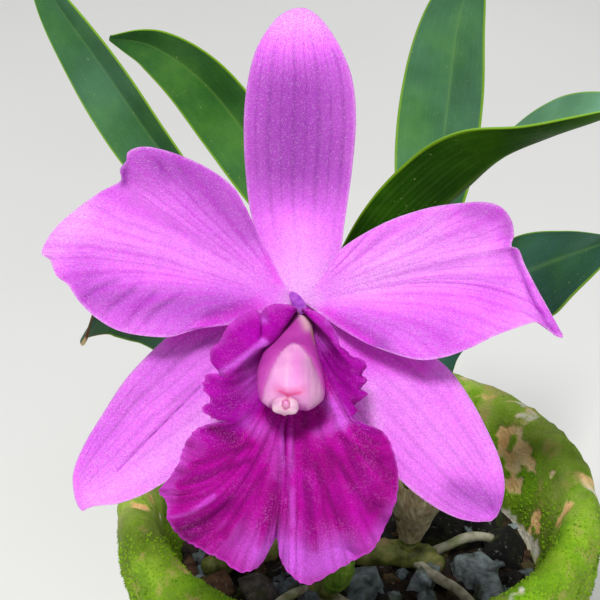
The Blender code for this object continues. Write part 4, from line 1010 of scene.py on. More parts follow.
def make_leaf(which, offset, spine, width, side_foot, side_tip, fold_foot, fold_tip, twist):
    top, axis = bulb_head(which)
    start = top + axis * (GAP + 0.1) + np.array(offset)
    outer = seen(spine)
    reach = outer[0] - start
    bend = start + unit(axis * 0.7 + unit(reach) * 0.3) * np.linalg.norm(reach) * 0.48
    keel = spline(np.concatenate([[start, bend], outer]), LEAF_ROWS)
    lengths = np.concatenate([[0.0], np.cumsum(np.linalg.norm(np.diff(keel, axis=0), axis=1))])
    at = (lengths / lengths[-1])[:, None]
    ahead = unit(np.gradient(keel, axis=0))
    ahead[0] = axis
    side = along_bloom(side_foot) * (1 - at) + along_bloom(side_tip) * at
    side = unit(side - ahead * np.sum(side * ahead, 1, keepdims=True))
    up = unit(np.cross(side, ahead))
    turn = math.radians(twist) * smooth(at, 0.5, 0.85)
    side, up = side * np.cos(turn) - up * np.sin(turn), up * np.cos(turn) + side * np.sin(turn)
    fold = np.radians(fold_foot * (1 - at) + fold_tip * at + FOOT_FOLD * (1 - at) ** 5)
    half = width / 2 * leaf_share(at)
    share = np.linspace(1, -1, LEAF_COLUMNS)[None, :]
    out = np.sign(share) * np.cos(fold) * np.abs(share)
    rise = np.sin(fold) * np.abs(share) ** 1.35
    spread = side[:, None] * out[..., None] + up[:, None] * rise[..., None]
    grid = keel[:, None] + spread * half[..., None]
    wave = 0.22 * rough(grid, 18.0, 2) * smooth(at, 0.1, 0.3) * (1 - smooth(at, 0.5, 0.8))
    grid = grid + up[:, None] * wave[..., None]
    grid = np.concatenate([[grid[0] - axis * 1.8, grid[0] - axis * 0.9], grid])
    at = np.concatenate([[[0.0], [0.0]], at])
    thick = LEAF_HALF * (1 - 0.72 * np.abs(share) ** 2.5) * (1 - 0.5 * smooth(at, 0.85, 1.0))
    return two_faced(f"leaf_blade_{which}", grid, thick, {"from_keel": np.abs(share) * np.ones_like(at)})


def vein_group():
    """Lines along a blade that start one after another on its way out, as branching veins do."""
    tree, given, ends = new_tree("veins", "ShaderNodeTree", {
        "Place": "Vector", "Where": "Vector", "Count": "Float", "Wobble": "Float", "Width": "Float",
    }, {"Lines": "Float"})
    parts = node("ShaderNodeSeparateXYZ", {0: given["Place"]}).outputs
    wander = number("SUBTRACT", cloud(given["Where"], 110.0, 3.0), 0.5)
    across = number("MULTIPLY_ADD", wander, given["Wobble"], number("MULTIPLY", parts[0], 2.0))
    lines = None
    for times, begins, strength in ((1.0, -1.0, 1.0), (2.0, 0.14, 0.8), (4.0, 0.42, 0.65), (8.0, 0.74, 0.5)):
        ways = number("MULTIPLY", across, number("MULTIPLY", given["Count"], times))
        line = number("SUBTRACT", 1.0, between(number("PINGPONG", ways, 0.5), 0.0, given["Width"]))
        shown = number("MULTIPLY", line, between(parts[1], begins, begins + 0.2, 0.0, strength))
        lines = shown if lines is None else number("MAXIMUM", lines, shown)
    patchy = between(cloud(given["Where"], 160.0, 2.0), 0.3, 0.62, 0.5, 1.0)
    tree.links.new(number("MULTIPLY", lines, patchy), ends[0])
    return tree


veins = vein_group()


def on_blade(where):
    """A point's place on its own blade: across it, then along it from its foot."""
    return node("ShaderNodeUVMap", tree=where.id_data, uv_map="surface").outputs[0]


def along_blade(where):
    return node("ShaderNodeSeparateXYZ", {0: on_blade(where)}).outputs[1]


def vein_lines(where, count, wobble, width):
    """The vein group placed in a material."""
    inputs = {"Place": on_blade(where), "Where": where, "Count": count, "Wobble": wobble, "Width": width}
    return node("ShaderNodeGroup", inputs, node_tree=veins).outputs[0]


def leaf_green(name, bloom_and_sheen_above, bloom_and_sheen_below, bloom_and_sheen_paint, tip_dry=False):
    """A leaf's finish: two greens, faint veins, a pale keel and edge, and a bluish haze on either face, part
    waxy bloom and part painted sheen.
    """
    material, where = finish(name, Specular_IOR_Level=0.025)
    patch = cloud(where, 55.0, 4.0)
    above = graded(patch, (0.3, 26, 66, 14), (0.5, 42, 90, 20), (0.7, 70, 118, 34))
    below = graded(patch, (0.3, 16, 46, 2), (0.5, 28, 64, 3), (0.7, 46, 88, 8))
    streak = vein_lines(where, 11.0, 0.02, 0.2)
    from_keel = mark(where, "from_keel")
    bloom_and_sheen = number("MULTIPLY_ADD", mark(where, "upper"), bloom_and_sheen_above - bloom_and_sheen_below, bloom_and_sheen_below)
    colour = layered(
        mixed(mark(where, "upper"), below, above),
        (number("MULTIPLY", streak, 0.07), 110, 146, 74),
        (between(from_keel, 0.0, 0.09, 0.3, 0.0), 110, 146, 54),
        # painted sheen: a bluish haze over the faces, part waxy bloom
        (number("MULTIPLY", in_patches(where, 40.0, 5.0, 0.3, 0.7, 1.0, 0.4), bloom_and_sheen), *bloom_and_sheen_paint),
        (between(from_keel, 0.95, 0.99, 0.0, 0.7), 126, 168, 30))
    if tip_dry:
        ragged = number("MULTIPLY_ADD", cloud(where, 200.0, 4.0), 0.08, -0.04)
        far = number("ADD", along_blade(where), ragged)
        dry_edge = number("MULTIPLY", between(from_keel, 0.94, 0.98), between(far, 0.6, 0.8))
        colour = layered(
            colour, (number("MAXIMUM", dry_edge, between(far, 0.93, 0.96)), 118, 84, 56),
            (between(far, 0.975, 0.985), 196, 178, 128))
    colour = layered(colour, (in_patches(where, 1500.0, 2.0, 0.7, 0.76, 0.6), 150, 160, 110))
    height = number("MULTIPLY_ADD", streak, 0.3, cloud(where, 1800.0, 3.0))
    return fed(material, Base_Color=colour, Roughness=between(cloud(where, 150.0), 0.3, 0.7, 0.38, 0.55),
               Normal=bumped(height, 0.00012, 0.8))


# The paint of the bluish haze, part waxy bloom and part painted sheen
BLOOM_AND_SHEEN_PAINT = (104, 150, 130)
plain_leaf = leaf_green("leaf_green", 0.12, 0.0, BLOOM_AND_SHEEN_PAINT)
thin_sheen_leaf = leaf_green("leaf_green_thin_bloom_and_sheen", 0.38, 0.0, BLOOM_AND_SHEEN_PAINT)
strong_sheen_leaf = leaf_green("leaf_green_strong_bloom_and_sheen", 0.8, 0.0, (124, 172, 150))
dull_leaf = leaf_green("leaf_green_dull", 0.7, 0.7, (60, 100, 96))
dry_tipped_leaf = leaf_green("leaf_green_dry_tip", 0.5, 0.6, (86, 122, 108), tip_dry=True)
leaf_finishes = (strong_sheen_leaf, dull_leaf, dry_tipped_leaf, thin_sheen_leaf, thin_sheen_leaf, plain_leaf)
for leaf, leaf_finish in zip(LEAVES, leaf_finishes):
    dress(make_leaf(*leaf), leaf_finish, "leaf", f"leaf_{leaf[0]}")


# The flower stalk
# A round green stem from the head of the newest pseudobulb, through the short dry sleeve of the
# sheath that it grew from, up to the ovary.
PEDUNCLE_RADIUS = 1.5
PEDUNCLE_FOOT = np.array((-8.0, -30.0, 149.6))
STALK_JOINT = np.array((-14.4, -40.4, 173.4))
SLEEVE_LENGTH = 8.6
SLEEVE_HALF = 0.15
SLEEVE_ROWS = 22
SLEEVE_COLUMNS = 48
STALK_RINGS = 50
STALK_SIDES = 28


def stalk_start():
    """Where the flower stalk starts on the newest pseudobulb, and the way it points."""
    _, axis = bulb_head(1)
    return PEDUNCLE_FOOT + axis * (GAP + 0.1), axis


def make_peduncle():
    start, axis = stalk_start()
    joint = STALK_JOINT + np.array((0.1, 0.25, -0.35))
    path = even(spline([start, start + axis * 9.0, (-11.3, -36.0, 167.5), joint], 60), STALK_RINGS)
    return lofted("peduncle_stem", tube_rings(path, np.full(STALK_RINGS, PEDUNCLE_RADIUS), STALK_SIDES))


def make_sleeve():
    """The sleeve, open above, its mouth torn and turned out a little."""
    start, axis = stalk_start()
    share = np.linspace(0, 1, SLEEVE_ROWS)[:, None]
    turns = np.linspace(0.15, math.tau - 0.15, SLEEVE_COLUMNS)
    spokes = spokes_round(start + axis * SLEEVE_LENGTH * share, turns)
    torn = 0.86 + 0.14 * np.sin(turns * 3.0) * np.cos(turns * 7.0)
    radius = PEDUNCLE_RADIUS + GAP + 0.45 + 0.9 * share**4 + 0.1 * np.sin(turns * 9.0)[None] * share
    grid = start + axis * (share * torn[None] * SLEEVE_LENGTH)[..., None] + spokes * radius[..., None]
    return two_faced("sleeve", grid, SLEEVE_HALF)


def stalk_green(name, flush_share, *flush_paint):
    material, where = finish(name, Specular_IOR_Level=0.45, Roughness=0.5)
    skin = graded(cloud(where, 400.0, 4.0), (0.3, 98, 112, 46), (0.7, 150, 162, 84))
    flush_and_painted_shadow = in_patches(where, 90.0, 3.0, 0.35, 0.65, flush_share, flush_share * 0.4)
    return fed(material, Base_Color=layered(skin, (flush_and_painted_shadow, *flush_paint)),
               Normal=bumped(cloud(where, 2500.0, 3.0), 0.0001, 0.7))


dress(make_peduncle(), stalk_green("stalk_green", 0.5, 126, 84, 74), "stalk", "peduncle")
dress(make_sleeve(), sheath_finish, "sheath", "spathe")


# The ovary
# The bloom's own stalk, slim and shallowly furrowed, flushed with pink. At its end it widens
# into the hub that every petal and sepal springs from.
HUB_RADIUS = 3.4
OVARY_RADIUS = 1.8
OVARY_RINGS = 110
OVARY_SIDES = 42


def make_ovary():
    run = ((-1.2, 3.0), (-1.4, HUB_RADIUS), (-2.6, HUB_RADIUS), (-4.4, 2.4), (-8.0, OVARY_RADIUS),
           (-15.0, OVARY_RADIUS + 0.1), (-24.0, OVARY_RADIUS), (-32.0, OVARY_RADIUS - 0.2))
    rows = [(*place((0, 0, out)), radius) for out, radius in run]
    rows += [(-14.9, -43.4, 177.2, PEDUNCLE_RADIUS), (*STALK_JOINT, PEDUNCLE_RADIUS)]
    fine = even(spline(rows, 200), OVARY_RINGS)
    at = np.linspace(0, 1, OVARY_RINGS)[:, None]
    furrows = 1 - 0.07 * np.abs(np.cos(full_turn(OVARY_SIDES) * 3)) ** 3 * smooth(at, 0.14, 0.3)
    rings = tube_rings(fine[:, :3], fine[:, 3], OVARY_SIDES)
    return lofted("ovary_stalk", swollen(rings, fine[:, :3], furrows))


dress(make_ovary(), stalk_green("ovary_flush", 0.85, 196, 120, 168), "ovary", "ovary")


# The sepals
# The three outer parts of the bloom, narrower than the petals: one stands upright behind them,
# and two spread below. Fine veins run their whole length, and painted glints sparkle on their cells.
CLAW_RADIUS = 3.72
PETAL_HALF = 0.35
# Rows over each sepal: its left edge and its right edge as seen, how far out, and its cup
DORSAL_SEPAL = (
    (-6.6, 8, 7.6, 8, -2.2, 0.4), (-9.6, 16, 9, 16, -3, 0.8),
    (-10.9, 26, 10.4, 26, -3, 1.2), (-11.2, 36, 11.2, 36, -1.8, 1.4),
    (-10.4, 44, 10.5, 44, -1.6, 1.3), (-8.8, 50, 8.3, 50, -2.4, 1),
    (-6.2, 54.5, 5.6, 54.5, -3.6, 0.7), (-3.6, 57.2, 3.1, 57.2, -4.6, 0.3),
    (-0.6, 58.4, 0.8, 58.4, -5, 0),
)
LEFT_SEPAL = (
    (-9, -0.8, -2.8, -9.5, -2.2, -0.2), (-16, -1.8, -6.8, -17.5, -3.2, -0.5),
    (-23, -4.6, -12.5, -26, -4.3, -0.9), (-29.4, -10, -19, -32, -5.2, -1.2),
    (-35, -16, -25.5, -35.6, -5.8, -1.3), (-39.6, -23, -31.4, -38.9, -6.2, -1.2),
    (-43.2, -29, -36.4, -40.7, -6.2, -0.9), (-45.3, -34.4, -40.4, -41.1, -5.6, -0.6),
    (-45.1, -39, -42.4, -41.6, -4.8, -0.2), (-44, -41.8, -43.4, -42.2, -4.2, 0),
)
RIGHT_SEPAL = (
    (9, -3, 3.2, -9.5, -2.2, 0.2), (16, -5.6, 7, -17, -3.2, 0.6),
    (23, -8.8, 11.5, -25.5, -4.3, 1), (29.5, -13.6, 16.4, -32, -5.2, 1.3),
    (34.2, -20, 21.4, -37.2, -5.8, 1.3), (37.6, -26.4, 26.4, -41, -6.4, 1.2),
    (40, -32, 31, -43.4, -6.8, 0.8), (40.9, -37, 34.8, -44.3, -7, 0.4),
    (40.2, -41.4, 37, -44.3, -6.6, 0.1), (38.9, -43.6, 38.2, -44.2, -6, 0),
)
SEPAL_OUT = -1.4
SEPAL_ROWS = 120
SEPAL_COLUMNS = 49
CLAW_STEPS = (0.15, 0.3, 0.5, 0.75)
# Folds are lines over the bloom as it is seen, with their width and how far they lift the blade
LEFT_SEPAL_FOLDS = (
    (((-20, -17.4), (-27, -24.4), (-36.4, -34)), 0.45, -0.5),
    (((-21, -16.4), (-28, -23.4), (-37.4, -33)), 2.2, 0.5),
)
RIGHT_SEPAL_FOLDS = (
    (((37, -40), (39.5, -43.5)), 0.8, -0.6),
    (((20, -16), (34, -34)), 3, 0.4),
)
DORSAL_FOLDS = (
    (((-0.5, 10), (0, 50)), 1, -0.35),
)
# Tones are lines too, with how much paler or deeper the blade's colour is along them. They are
# mostly painted light and shade: paler where a blade turns to the light, deeper where it turns
# away, in its creases and in the shadows cast on it.
LEFT_SEPAL_TONES = (
    (((-18, -24), (-30, -34), (-41, -40.5)), 4.5, 0.75),
    (((-20, -17.4), (-27, -24.4), (-36.4, -34)), 0.25, -0.9),
    (((-12, -6), (-24, -11), (-36, -22)), 3, -0.2),
)
RIGHT_SEPAL_TONES = (
    (((31, -37.5), (39, -40.5)), 3, -0.6),
    (((30, -15), (39.5, -33)), 1.6, 0.3),
    (((20, -18), (30, -31)), 5, 0.35),
    (((13.4, -18), (15, -25)), 2, 0.8),
)
DORSAL_TONES = (
    (((-8.5, 28), (-8.5, 41)), 9, -0.52),
    (((0, 27), (0, 41)), 9, -0.48),
    (((8.5, 28), (8, 41)), 9, -0.44),
    (((-3, 56), (3, 56)), 5.4, 0.9),
    (((0, 2), (0, 12)), 5.6, 0.62),
)
# Flushes are painted shadow: lines of deep magenta where a blade lies in a petal's shade,
# tinted as light through the petal would be.
PAINTED_SHADOW_FLUSHES = {
    "sepal_left": ((((-5, -3), (-13, -4.6), (-25, -7.2)), 2.6, 1),),
    "sepal_right": ((((5, -4.4), (14, -10.6), (24, -13.4)), 2.6, 1),),
    "petal_left_blade": (
        (((-6.6, 8.4), (-4.6, 4.2)), 1, 0.55),
        (((-8.5, -1.4), (-13, -2.8), (-19.5, -5.4)), 1.8, 0.8),
    ),
    "petal_right_blade": (
        (((5.5, -3.2), (8.5, -5.8), (13, -8.6)), 1.9, 0.95),
    ),
}


def arc(radius, start, end, count, out, centre=(0.0, 0.0)):
    """Points on a circle in the bloom's plane, as the eye sees them."""
    turns = np.radians(np.linspace(start, end, count))
    across = centre[0] + radius * np.cos(turns)
    up = centre[1] + radius * np.sin(turns)
    return np.stack([across, up, np.full(count, out)], -1)


def from_line(points, line):
    """How far points, as seen, lie from a line of points, and how far along it they lie."""
    nearest = np.full(points.shape[:-1], 1e9)
    share = np.zeros(points.shape[:-1])
    last = len(line) - 1
    for k in range(last):
        start = np.array(line[k], float)
        run = np.array(line[k + 1], float) - start
        t = np.clip(((points[..., :2] - start) @ run) / (run @ run), 0, 1)
        gap = np.linalg.norm(points[..., :2] - start - t[..., None] * run, axis=-1)
        share = np.where(gap < nearest, (k + t) / last, share)
        nearest = np.minimum(gap, nearest)
    return nearest, share


def folded(grid, folds):
    """Lifts a blade out of the bloom along its folds, less towards each fold's ends."""
    grid = grid.copy()
    for line, width, lift in folds:
        gap, share = from_line(grid, line)
        along = np.sin(np.pi * np.clip(share, 0.06, 0.94)) ** 0.5
        grid[..., 2] += lift * bell(gap, width) * along
    return grid


def lit_and_toned(grid, tones):
    """How much paler (above 0) or deeper (below 0) a blade's colour is at each of its points, mostly painted
    light and shade.
    """
    light_and_tone = np.zeros(grid.shape[:-1])
    for line, width, strength in tones:
        gap, _ = from_line(grid, line)
        light_and_tone += strength * bell(gap, width)
    return np.clip(light_and_tone, -1, 1)


def with_claw(grid, dip, centre=(0.0, 0.0)):
    """A blade's grid with its foot drawn on into the hub, where all claws meet."""
    middle = np.array((*centre, 0.0))
    rows = [(grid[0] - middle) * (k, k, 1) + middle - np.array((0, 0, dip * (1 - k))) for k in CLAW_STEPS]
    return np.concatenate([np.array(rows), grid])


def make_sepal(name, rows, start, end, folds, tones):
    foot = arc(CLAW_RADIUS, start, end, SEPAL_COLUMNS, SEPAL_OUT)
    table = [(*foot[0, :2], *foot[-1, :2], SEPAL_OUT, 0.0)] + list(rows)
    fine = spline(table, SEPAL_ROWS)[1:, None]
    c = np.linspace(0, 1, SEPAL_COLUMNS)[None, :, None]
    flat = fine[..., :2] * (1 - c) + fine[..., 2:4] * c
    out = fine[..., 4:5] + fine[..., 5:6] * 4 * c * (1 - c)
    grid = np.concatenate([foot[None], np.concatenate([flat, out], -1)])
    along = np.linspace(0, 1, SEPAL_ROWS)[:, None]
    across = np.linspace(0, 1, SEPAL_COLUMNS)[None]
    bow = (foot - foot[0] * (1 - c[0]) - foot[-1] * c[0])[None] * (1 - smooth(along, 0.0, 0.16))[..., None]
    grid[1:] += bow[1:]
    grid[..., 2] += 0.22 * rough(grid, 7.0, 2) * smooth(along, 0.05, 0.2)
    grid = with_claw(folded(grid, folds), 0.0)
    along = np.concatenate([np.zeros((len(CLAW_STEPS), 1)), along])
    from_edge = np.minimum(np.minimum(across, 1 - across) * 2 * 10.0, (1 - along) * 46.0)
    half = PETAL_HALF * (0.35 + 0.65 * smooth(from_edge, 0.0, 2.0))
    marks = {"from_edge": np.clip(from_edge / 6.0, 0, 1), "light_and_tone": lit_and_toned(grid, tones),
             "flush_and_painted_shadow": lit_and_toned(grid, PAINTED_SHADOW_FLUSHES.get(name, ()))}
    return two_faced(name, seen(grid), half, marks)


def cell_group():
    """The bloom's skin: tiny domed cells, some of which are picked out for painted glints and a glossier
    finish.
    """
    tree, given, ends = new_tree("cells", "ShaderNodeTree", {"Where": "Vector", "Size": "Float"}, {
        "Sparkle": "Float", "Shade": "Float", "Height": "Float"})
    found = node("ShaderNodeTexVoronoi", {"Vector": given["Where"], "Scale": given["Size"]}).outputs
    lot = node("ShaderNodeSeparateColor", {0: found["Color"]}).outputs
    tree.links.new(between(lot[0], 0.72, 1.0), ends["Sparkle"])
    tree.links.new(lot[1], ends["Shade"])
    tree.links.new(number("SUBTRACT", 1.0, found["Distance"]), ends["Height"])
    return tree


cells = cell_group()
CELLS_PER_METRE = 5200.0


def lilac(name, vein_count, vein_share, vein_depth, vein_paint, claw_length):
    """A petal's finish: lilac patches, darker veins, a paler edge, a pale claw, painted light and shade,
    painted shadow and painted glints on its cells.
    """
    material, where = finish(
        name, Specular_IOR_Level=0.4, Sheen_Weight=0.1, Sheen_Roughness=0.45,
        Sheen_Tint=paint(255, 190, 255), Subsurface_Weight=0.6, Subsurface_Radius=(1.0, 0.12, 0.9),
        Subsurface_Scale=0.002)
    along = along_blade(where)
    light_and_tone = mark(where, "light_and_tone")
    lines = number("MULTIPLY", vein_lines(where, vein_count, 0.035, 0.18), between(along, 0.08, 0.4, 0.15))
    share = number("MULTIPLY_ADD", light_and_tone, -vein_depth * vein_share, vein_share)
    skin = node("ShaderNodeGroup", {"Where": where, "Size": CELLS_PER_METRE}, node_tree=cells).outputs
    colour = layered(
        graded(cloud(where, 75.0, 4.0), (0.28, 214, 100, 226), (0.55, 232, 120, 238)),
        # painted light and shade from the tone marks
        (number("MULTIPLY", light_and_tone, -1.0), 132, 32, 148), (light_and_tone, 244, 164, 248),
        # painted shadow: deep magenta where the blade lies under a petal
        (mark(where, "flush_and_painted_shadow", 0.85), 226, 24, 216),
        (between(mark(where, "from_edge"), 0.0, 0.13, 0.4, 0.0), 244, 190, 250),
        (between(along, 0.03, claw_length, 0.5, 0.0), 240, 190, 236),
        (number("MULTIPLY", lines, share), *vein_paint),
        (between(skin["Shade"], 0.0, 1.0, 0.0, 0.38), 150, 36, 170),
        # painted glints: random cells turned paler
        (number("MULTIPLY", skin["Sparkle"], 0.13), 255, 220, 255))
    height = number("MULTIPLY_ADD", lines, -0.35, skin["Height"])
    return fed(material, Base_Color=colour, Roughness=between(skin["Sparkle"], 0.0, 1.0, 0.54, 0.42),
               Normal=bumped(height, 0.00016, 0.8))


sepal_finish = lilac("sepal_lilac", 4.5, 0.3, 0.8, (112, 2, 126), 0.22)
for name, rows, start, end, folds, tones, solid in (
    ("sepal_top", DORSAL_SEPAL, 152.0, 28.0, DORSAL_FOLDS, DORSAL_TONES, "dorsal_sepal"),
    ("sepal_left", LEFT_SEPAL, 186.0, 262.0, LEFT_SEPAL_FOLDS, LEFT_SEPAL_TONES, "lateral_sepal_left"),
    ("sepal_right", RIGHT_SEPAL, -4.0, -82.0, RIGHT_SEPAL_FOLDS, RIGHT_SEPAL_TONES, "lateral_sepal_right"),
):
    dress(make_sepal(name, rows, start, end, folds, tones), sepal_finish, "sepal", solid)


# The petals
# Two broad thin blades on narrow claws, one to each side, their outer ends notched and curled
# forward. Veins fan from the claw and branch to the edge, and press low ripples into the blade.
PETAL_OUT = 0.8
PETAL_STEPS = 64
RIBS_BETWEEN = 6
LIFT_LEAN = 0.85
# Ribs of each petal: where its end lies at the margin, across, up and out, and how far its
# middle is lifted up and out
LEFT_PETAL = (
    (-10.8, 18.4, 4.6, 0.4, 0.2), (-13.2, 22.4, 5.5, 0.3, 0), (-17.4, 25.8, 6.5, 0.2, -0.2),
    (-22.6, 28.4, 7.5, 0.1, -0.5), (-28.4, 30.3, 8, 0.1, -0.5), (-32, 30.6, 8, 0.3, -0.4),
    (-34.4, 29.6, 7.5, 0.6, -0.2), (-34.8, 27.8, 7, 0.9, 0), (-36, 26.2, 6, 1.2, 0),
    (-36, 23.8, 4.5, 1.6, 0.3), (-40, 21.6, 3.6, 2, 0.5), (-45, 18, 2.7, 2.4, 0.8),
    (-49, 14.4, 1.9, 2.8, 1), (-51.2, 11, 1.2, 3, 1), (-51.6, 9.2, 0.9, 3.1, 1),
    (-50, 8, 0.6, 3.1, 1), (-48.8, 5, 0.2, 3.4, 1), (-46.4, 3, 0.6, 3.7, 1),
    (-44.4, 0, 1.2, 4, 0.9), (-41, -3.4, 1.9, 4.3, 0.8), (-36.6, -6, 2.3, 4.4, 0.8),
    (-31, -7.2, 2.6, 4, 0.7), (-25.6, -7.3, 2.8, 2.8, 0.6), (-20.6, -5.6, 2.7, -0.7, 0.4),
)
RIGHT_PETAL = (
    (7.4, 9.5, 2.8, 0.6, 0.2), (10.5, 11.9, 3.4, 0.8, 0.2), (15.6, 14.8, 4.4, 0.6, 0.2),
    (20, 16.7, 5, 0.3, 0.2), (26, 18.5, 5.5, 0.1, 0.2), (32.4, 19.4, 5.2, 0, 0.5), (37, 19.6, 4.6, 0.1, 0.8),
    (40.2, 18.6, 3.6, 0.2, 1), (42.2, 16.2, 2.6, 0.5, 1.2), (42.8, 13.2, 1.8, 0.9, 1.2),
    (42.3, 10.8, 2.4, 1.3, 1), (43.8, 10, 1.2, 1.6, 1.2), (45, 7, 0.4, 2.2, 1.3),
    (47, 3, 0, 3.2, 1.3), (49.2, -1, -0.2, 4.6, 1.2), (51.4, -5, -0.2, 6, 1),
    (52.6, -7.4, 0, 6.6, 0.8), (51, -7, 1.2, 5.8, 0.6), (49.2, -5.4, 2.4, 4.6, 0.5),
    (47.2, -4.4, 3.2, 3.4, 0.5), (43.2, -5.6, 3.6, 2.8, 0.5), (39, -7.2, 4, 2.4, 0.5),
    (34, -9.6, 4.2, 2.2, 0.5), (29, -11.4, 4.2, 2, 0.5), (24, -12, 4, 1.7, 0.4),
    (19, -10.8, 3.6, 0.9, 0.3), (14, -9, 3, -0.3, 0.2),
)
LEFT_PETAL_FOLDS = (
    (((-37.8, 5.2), (-42, 4.2), (-45.4, 2.2)), 0.8, -0.35),
    (((-36.4, 4), (-41, 2), (-43.8, -0.4)), 0.8, -0.45),
    (((-33, 2.4), (-37.6, -1.2), (-39.6, -3.6)), 0.9, -0.5),
    (((-28.8, 1.6), (-32.2, -1.6), (-34.8, -4.8)), 0.9, -0.5),
    (((-24, 1.2), (-28.4, -1.8), (-31, -4.4)), 0.9, -0.45),
    (((-36, 22.5), (-25, 17), (-12, 9)), 2.2, 0.6),
    (((-28.4, 28), (-26.8, 24)), 1.2, -0.2),
    (((-24.4, 27), (-22, 22.5)), 1.4, -0.2),
)
RIGHT_PETAL_FOLDS = (
    (((43, 8), (46.4, 0), (49.4, -5)), 0.8, -0.9),
    (((44.6, 6.5), (48, -1), (51, -6)), 0.9, 0.7),
    (((34, 14), (39, 9)), 1.6, -0.4),
    (((12, 6), (30, 10)), 1.8, 0.35),
    (((14, 0), (38, 1)), 1.6, -0.3),
    (((16, -5), (32, -6.5)), 1.8, -0.35),
)
# Tones on the petals are mostly painted light and shade: paler where a blade faces the light, deeper where it
# turns away and along its ripples
LEFT_PETAL_TONES = (
    (((-31, 28.5), (-20, 25), (-10.5, 15)), 6, -0.66),
    (((-35.3, 28), (-35.3, 23.6)), 1, -0.8),
    (((-44, 14), (-30, 12), (-12, 5)), 4, 0.35),
    (((-51, 9.5), (-44, 17.5)), 3.4, 0.85),
    (((-43, 1.5), (-30, -1), (-14, -1)), 4.5, -0.62),
    (((-36.4, 4), (-41, 2), (-43.8, -0.4)), 0.6, -0.25),
    (((-33, 2.4), (-37.6, -1.2), (-39.6, -3.6)), 0.6, -0.3),
    (((-28.8, 1.6), (-32.2, -1.6), (-34.8, -4.8)), 0.6, -0.3),
    (((-24, 1.2), (-28.4, -1.8), (-31, -4.4)), 0.6, -0.25),
    (((-10, -1), (-18, -3.6)), 1.6, -0.5),
    (((-28.4, 28), (-26.8, 24)), 0.9, -0.15),
    (((-24.4, 27), (-22, 22.5)), 0.9, -0.15),
)
RIGHT_PETAL_TONES = (
    (((34, 18.5), (41.5, 17), (42, 12)), 2.6, -0.6),
    (((42.6, 9.6), (46.6, 0), (50.4, -6.4)), 0.8, -0.8),
    (((8, -5.5), (16, -9.5)), 2.4, -0.7),
    (((14, 6), (36, 9)), 5.5, 0.6),
    (((5, 1.5), (14, 3), (26, 15)), 4, 0.45),
    (((43.5, 3), (46, -2)), 2.4, 0.3),
    (((38, -6), (46, -4.6)), 1.8, 0.3),
    (((12, -4), (30, -8)), 3.4, -0.25),
)


def rib_grid(foot, middle, margin, steps):
    """Ribs from the foot of a petal, each through its middle point, out to the margin."""
    bend = middle * 2 - (foot + margin) / 2
    r = np.linspace(0, 1, steps)[:, None, None]
    return foot * (1 - r) ** 2 + bend * 2 * r * (1 - r) + margin * r * r


def eased(rows, reach):
    """Rows of numbers with each blended into those up to reach before and after it."""
    weights = np.hanning(2 * reach + 3)[1:-1]
    padded = np.concatenate([2 * rows[0] - rows[reach:0:-1], rows, 2 * rows[-1] - rows[-2:-reach - 2:-1]])
    blended = [np.convolve(padded[:, k], weights / weights.sum(), "valid") for k in range(rows.shape[1])]
    return np.stack(blended, 1)


def ripples(count, steps, waves, seed):
    """Low ridges along the ribs, from 0 at the claw to full at the edge."""
    u = np.linspace(0, 1, count)[None]
    r = np.linspace(0, 1, steps)[:, None]
    wander = np.array([noise.noise(Vector((seed, 3.0 * k / count, 0.0))) for k in range(count)])[None]
    return np.sin(math.tau * (waves * u + wander * 1.4 + 0.25 * r)) * smooth(r, 0.1, 0.7)


def make_petal(name, ribs, start, end, hand, folds, tones):
    count = (len(ribs) - 1) * RIBS_BETWEEN + 1
    fine = spline(ribs, count)
    foot = arc(CLAW_RADIUS, start, end, count, PETAL_OUT)
    shift = np.stack([hand * LIFT_LEAN * fine[:, 3], fine[:, 3], fine[:, 4]], -1)
    margin = fine[:, :3]
    broad = eased(margin, 10)
    grid = rib_grid(foot, eased((foot + margin) / 2 + shift, 10), broad, PETAL_STEPS)
    u = np.linspace(0, 1, count)[None]
    r = np.linspace(0, 1, PETAL_STEPS)[:, None]
    grid = grid + (margin - broad) * r[..., None] ** 5
    spread = eased(np.linalg.norm(np.gradient(margin, axis=0), axis=1)[:, None], 8)[:, 0]
    spread = smooth(spread, 0.25, 0.85)[None]
    grid[..., 2] += 0.16 * spread * ripples(count, PETAL_STEPS, 13.0, 5.0 + hand)
    grid[..., 2] += 0.3 * rough(grid, 8.0, 2) * smooth(r, 0.1, 0.4)
    grid = with_claw(folded(grid, folds), 1.8)
    r = np.concatenate([np.zeros((len(CLAW_STEPS), 1)), r])
    reach = np.linalg.norm(margin - foot, axis=1)[None]
    from_edge = np.minimum((1 - r) * reach, np.minimum(u, 1 - u) * 90.0 * (0.15 + r))
    half = PETAL_HALF * (0.35 + 0.65 * smooth(from_edge, 0.0, 2.5))
    marks = {"from_edge": np.clip(from_edge / 8.0, 0, 1), "light_and_tone": lit_and_toned(grid, tones),
             "flush_and_painted_shadow": lit_and_toned(grid, PAINTED_SHADOW_FLUSHES[name])}
    return two_faced(name, seen(grid), half, marks)


petal_finish = lilac("petal_lilac", 7.0, 0.46, 0.2, (184, 18, 192), 0.1)
for name, ribs, start, end, hand, folds, tones, solid in (
    ("petal_left_blade", LEFT_PETAL, 138.0, 210.0, -1.0, LEFT_PETAL_FOLDS, LEFT_PETAL_TONES, "petal_left"),
    ("petal_right_blade", RIGHT_PETAL, 42.0, -34.0, 1.0, RIGHT_PETAL_FOLDS, RIGHT_PETAL_TONES, "petal_right"),
):
    dress(make_petal(name, ribs, start, end, hand, folds, tones), petal_finish, "petal", solid)


# The lip
# The bloom's third petal, deep magenta: two side lobes that fold up round the column, toothed at
# their edges, and a broad apron below, pleated along its veins and waved at its margin.
LIP_CENTRE = (-0.2, -4.6)
LIP_FOOT_RADIUS = 3.4
LIP_OUT = 2.4
LIP_STEPS = 72
LIP_RIBS_BETWEEN = 6
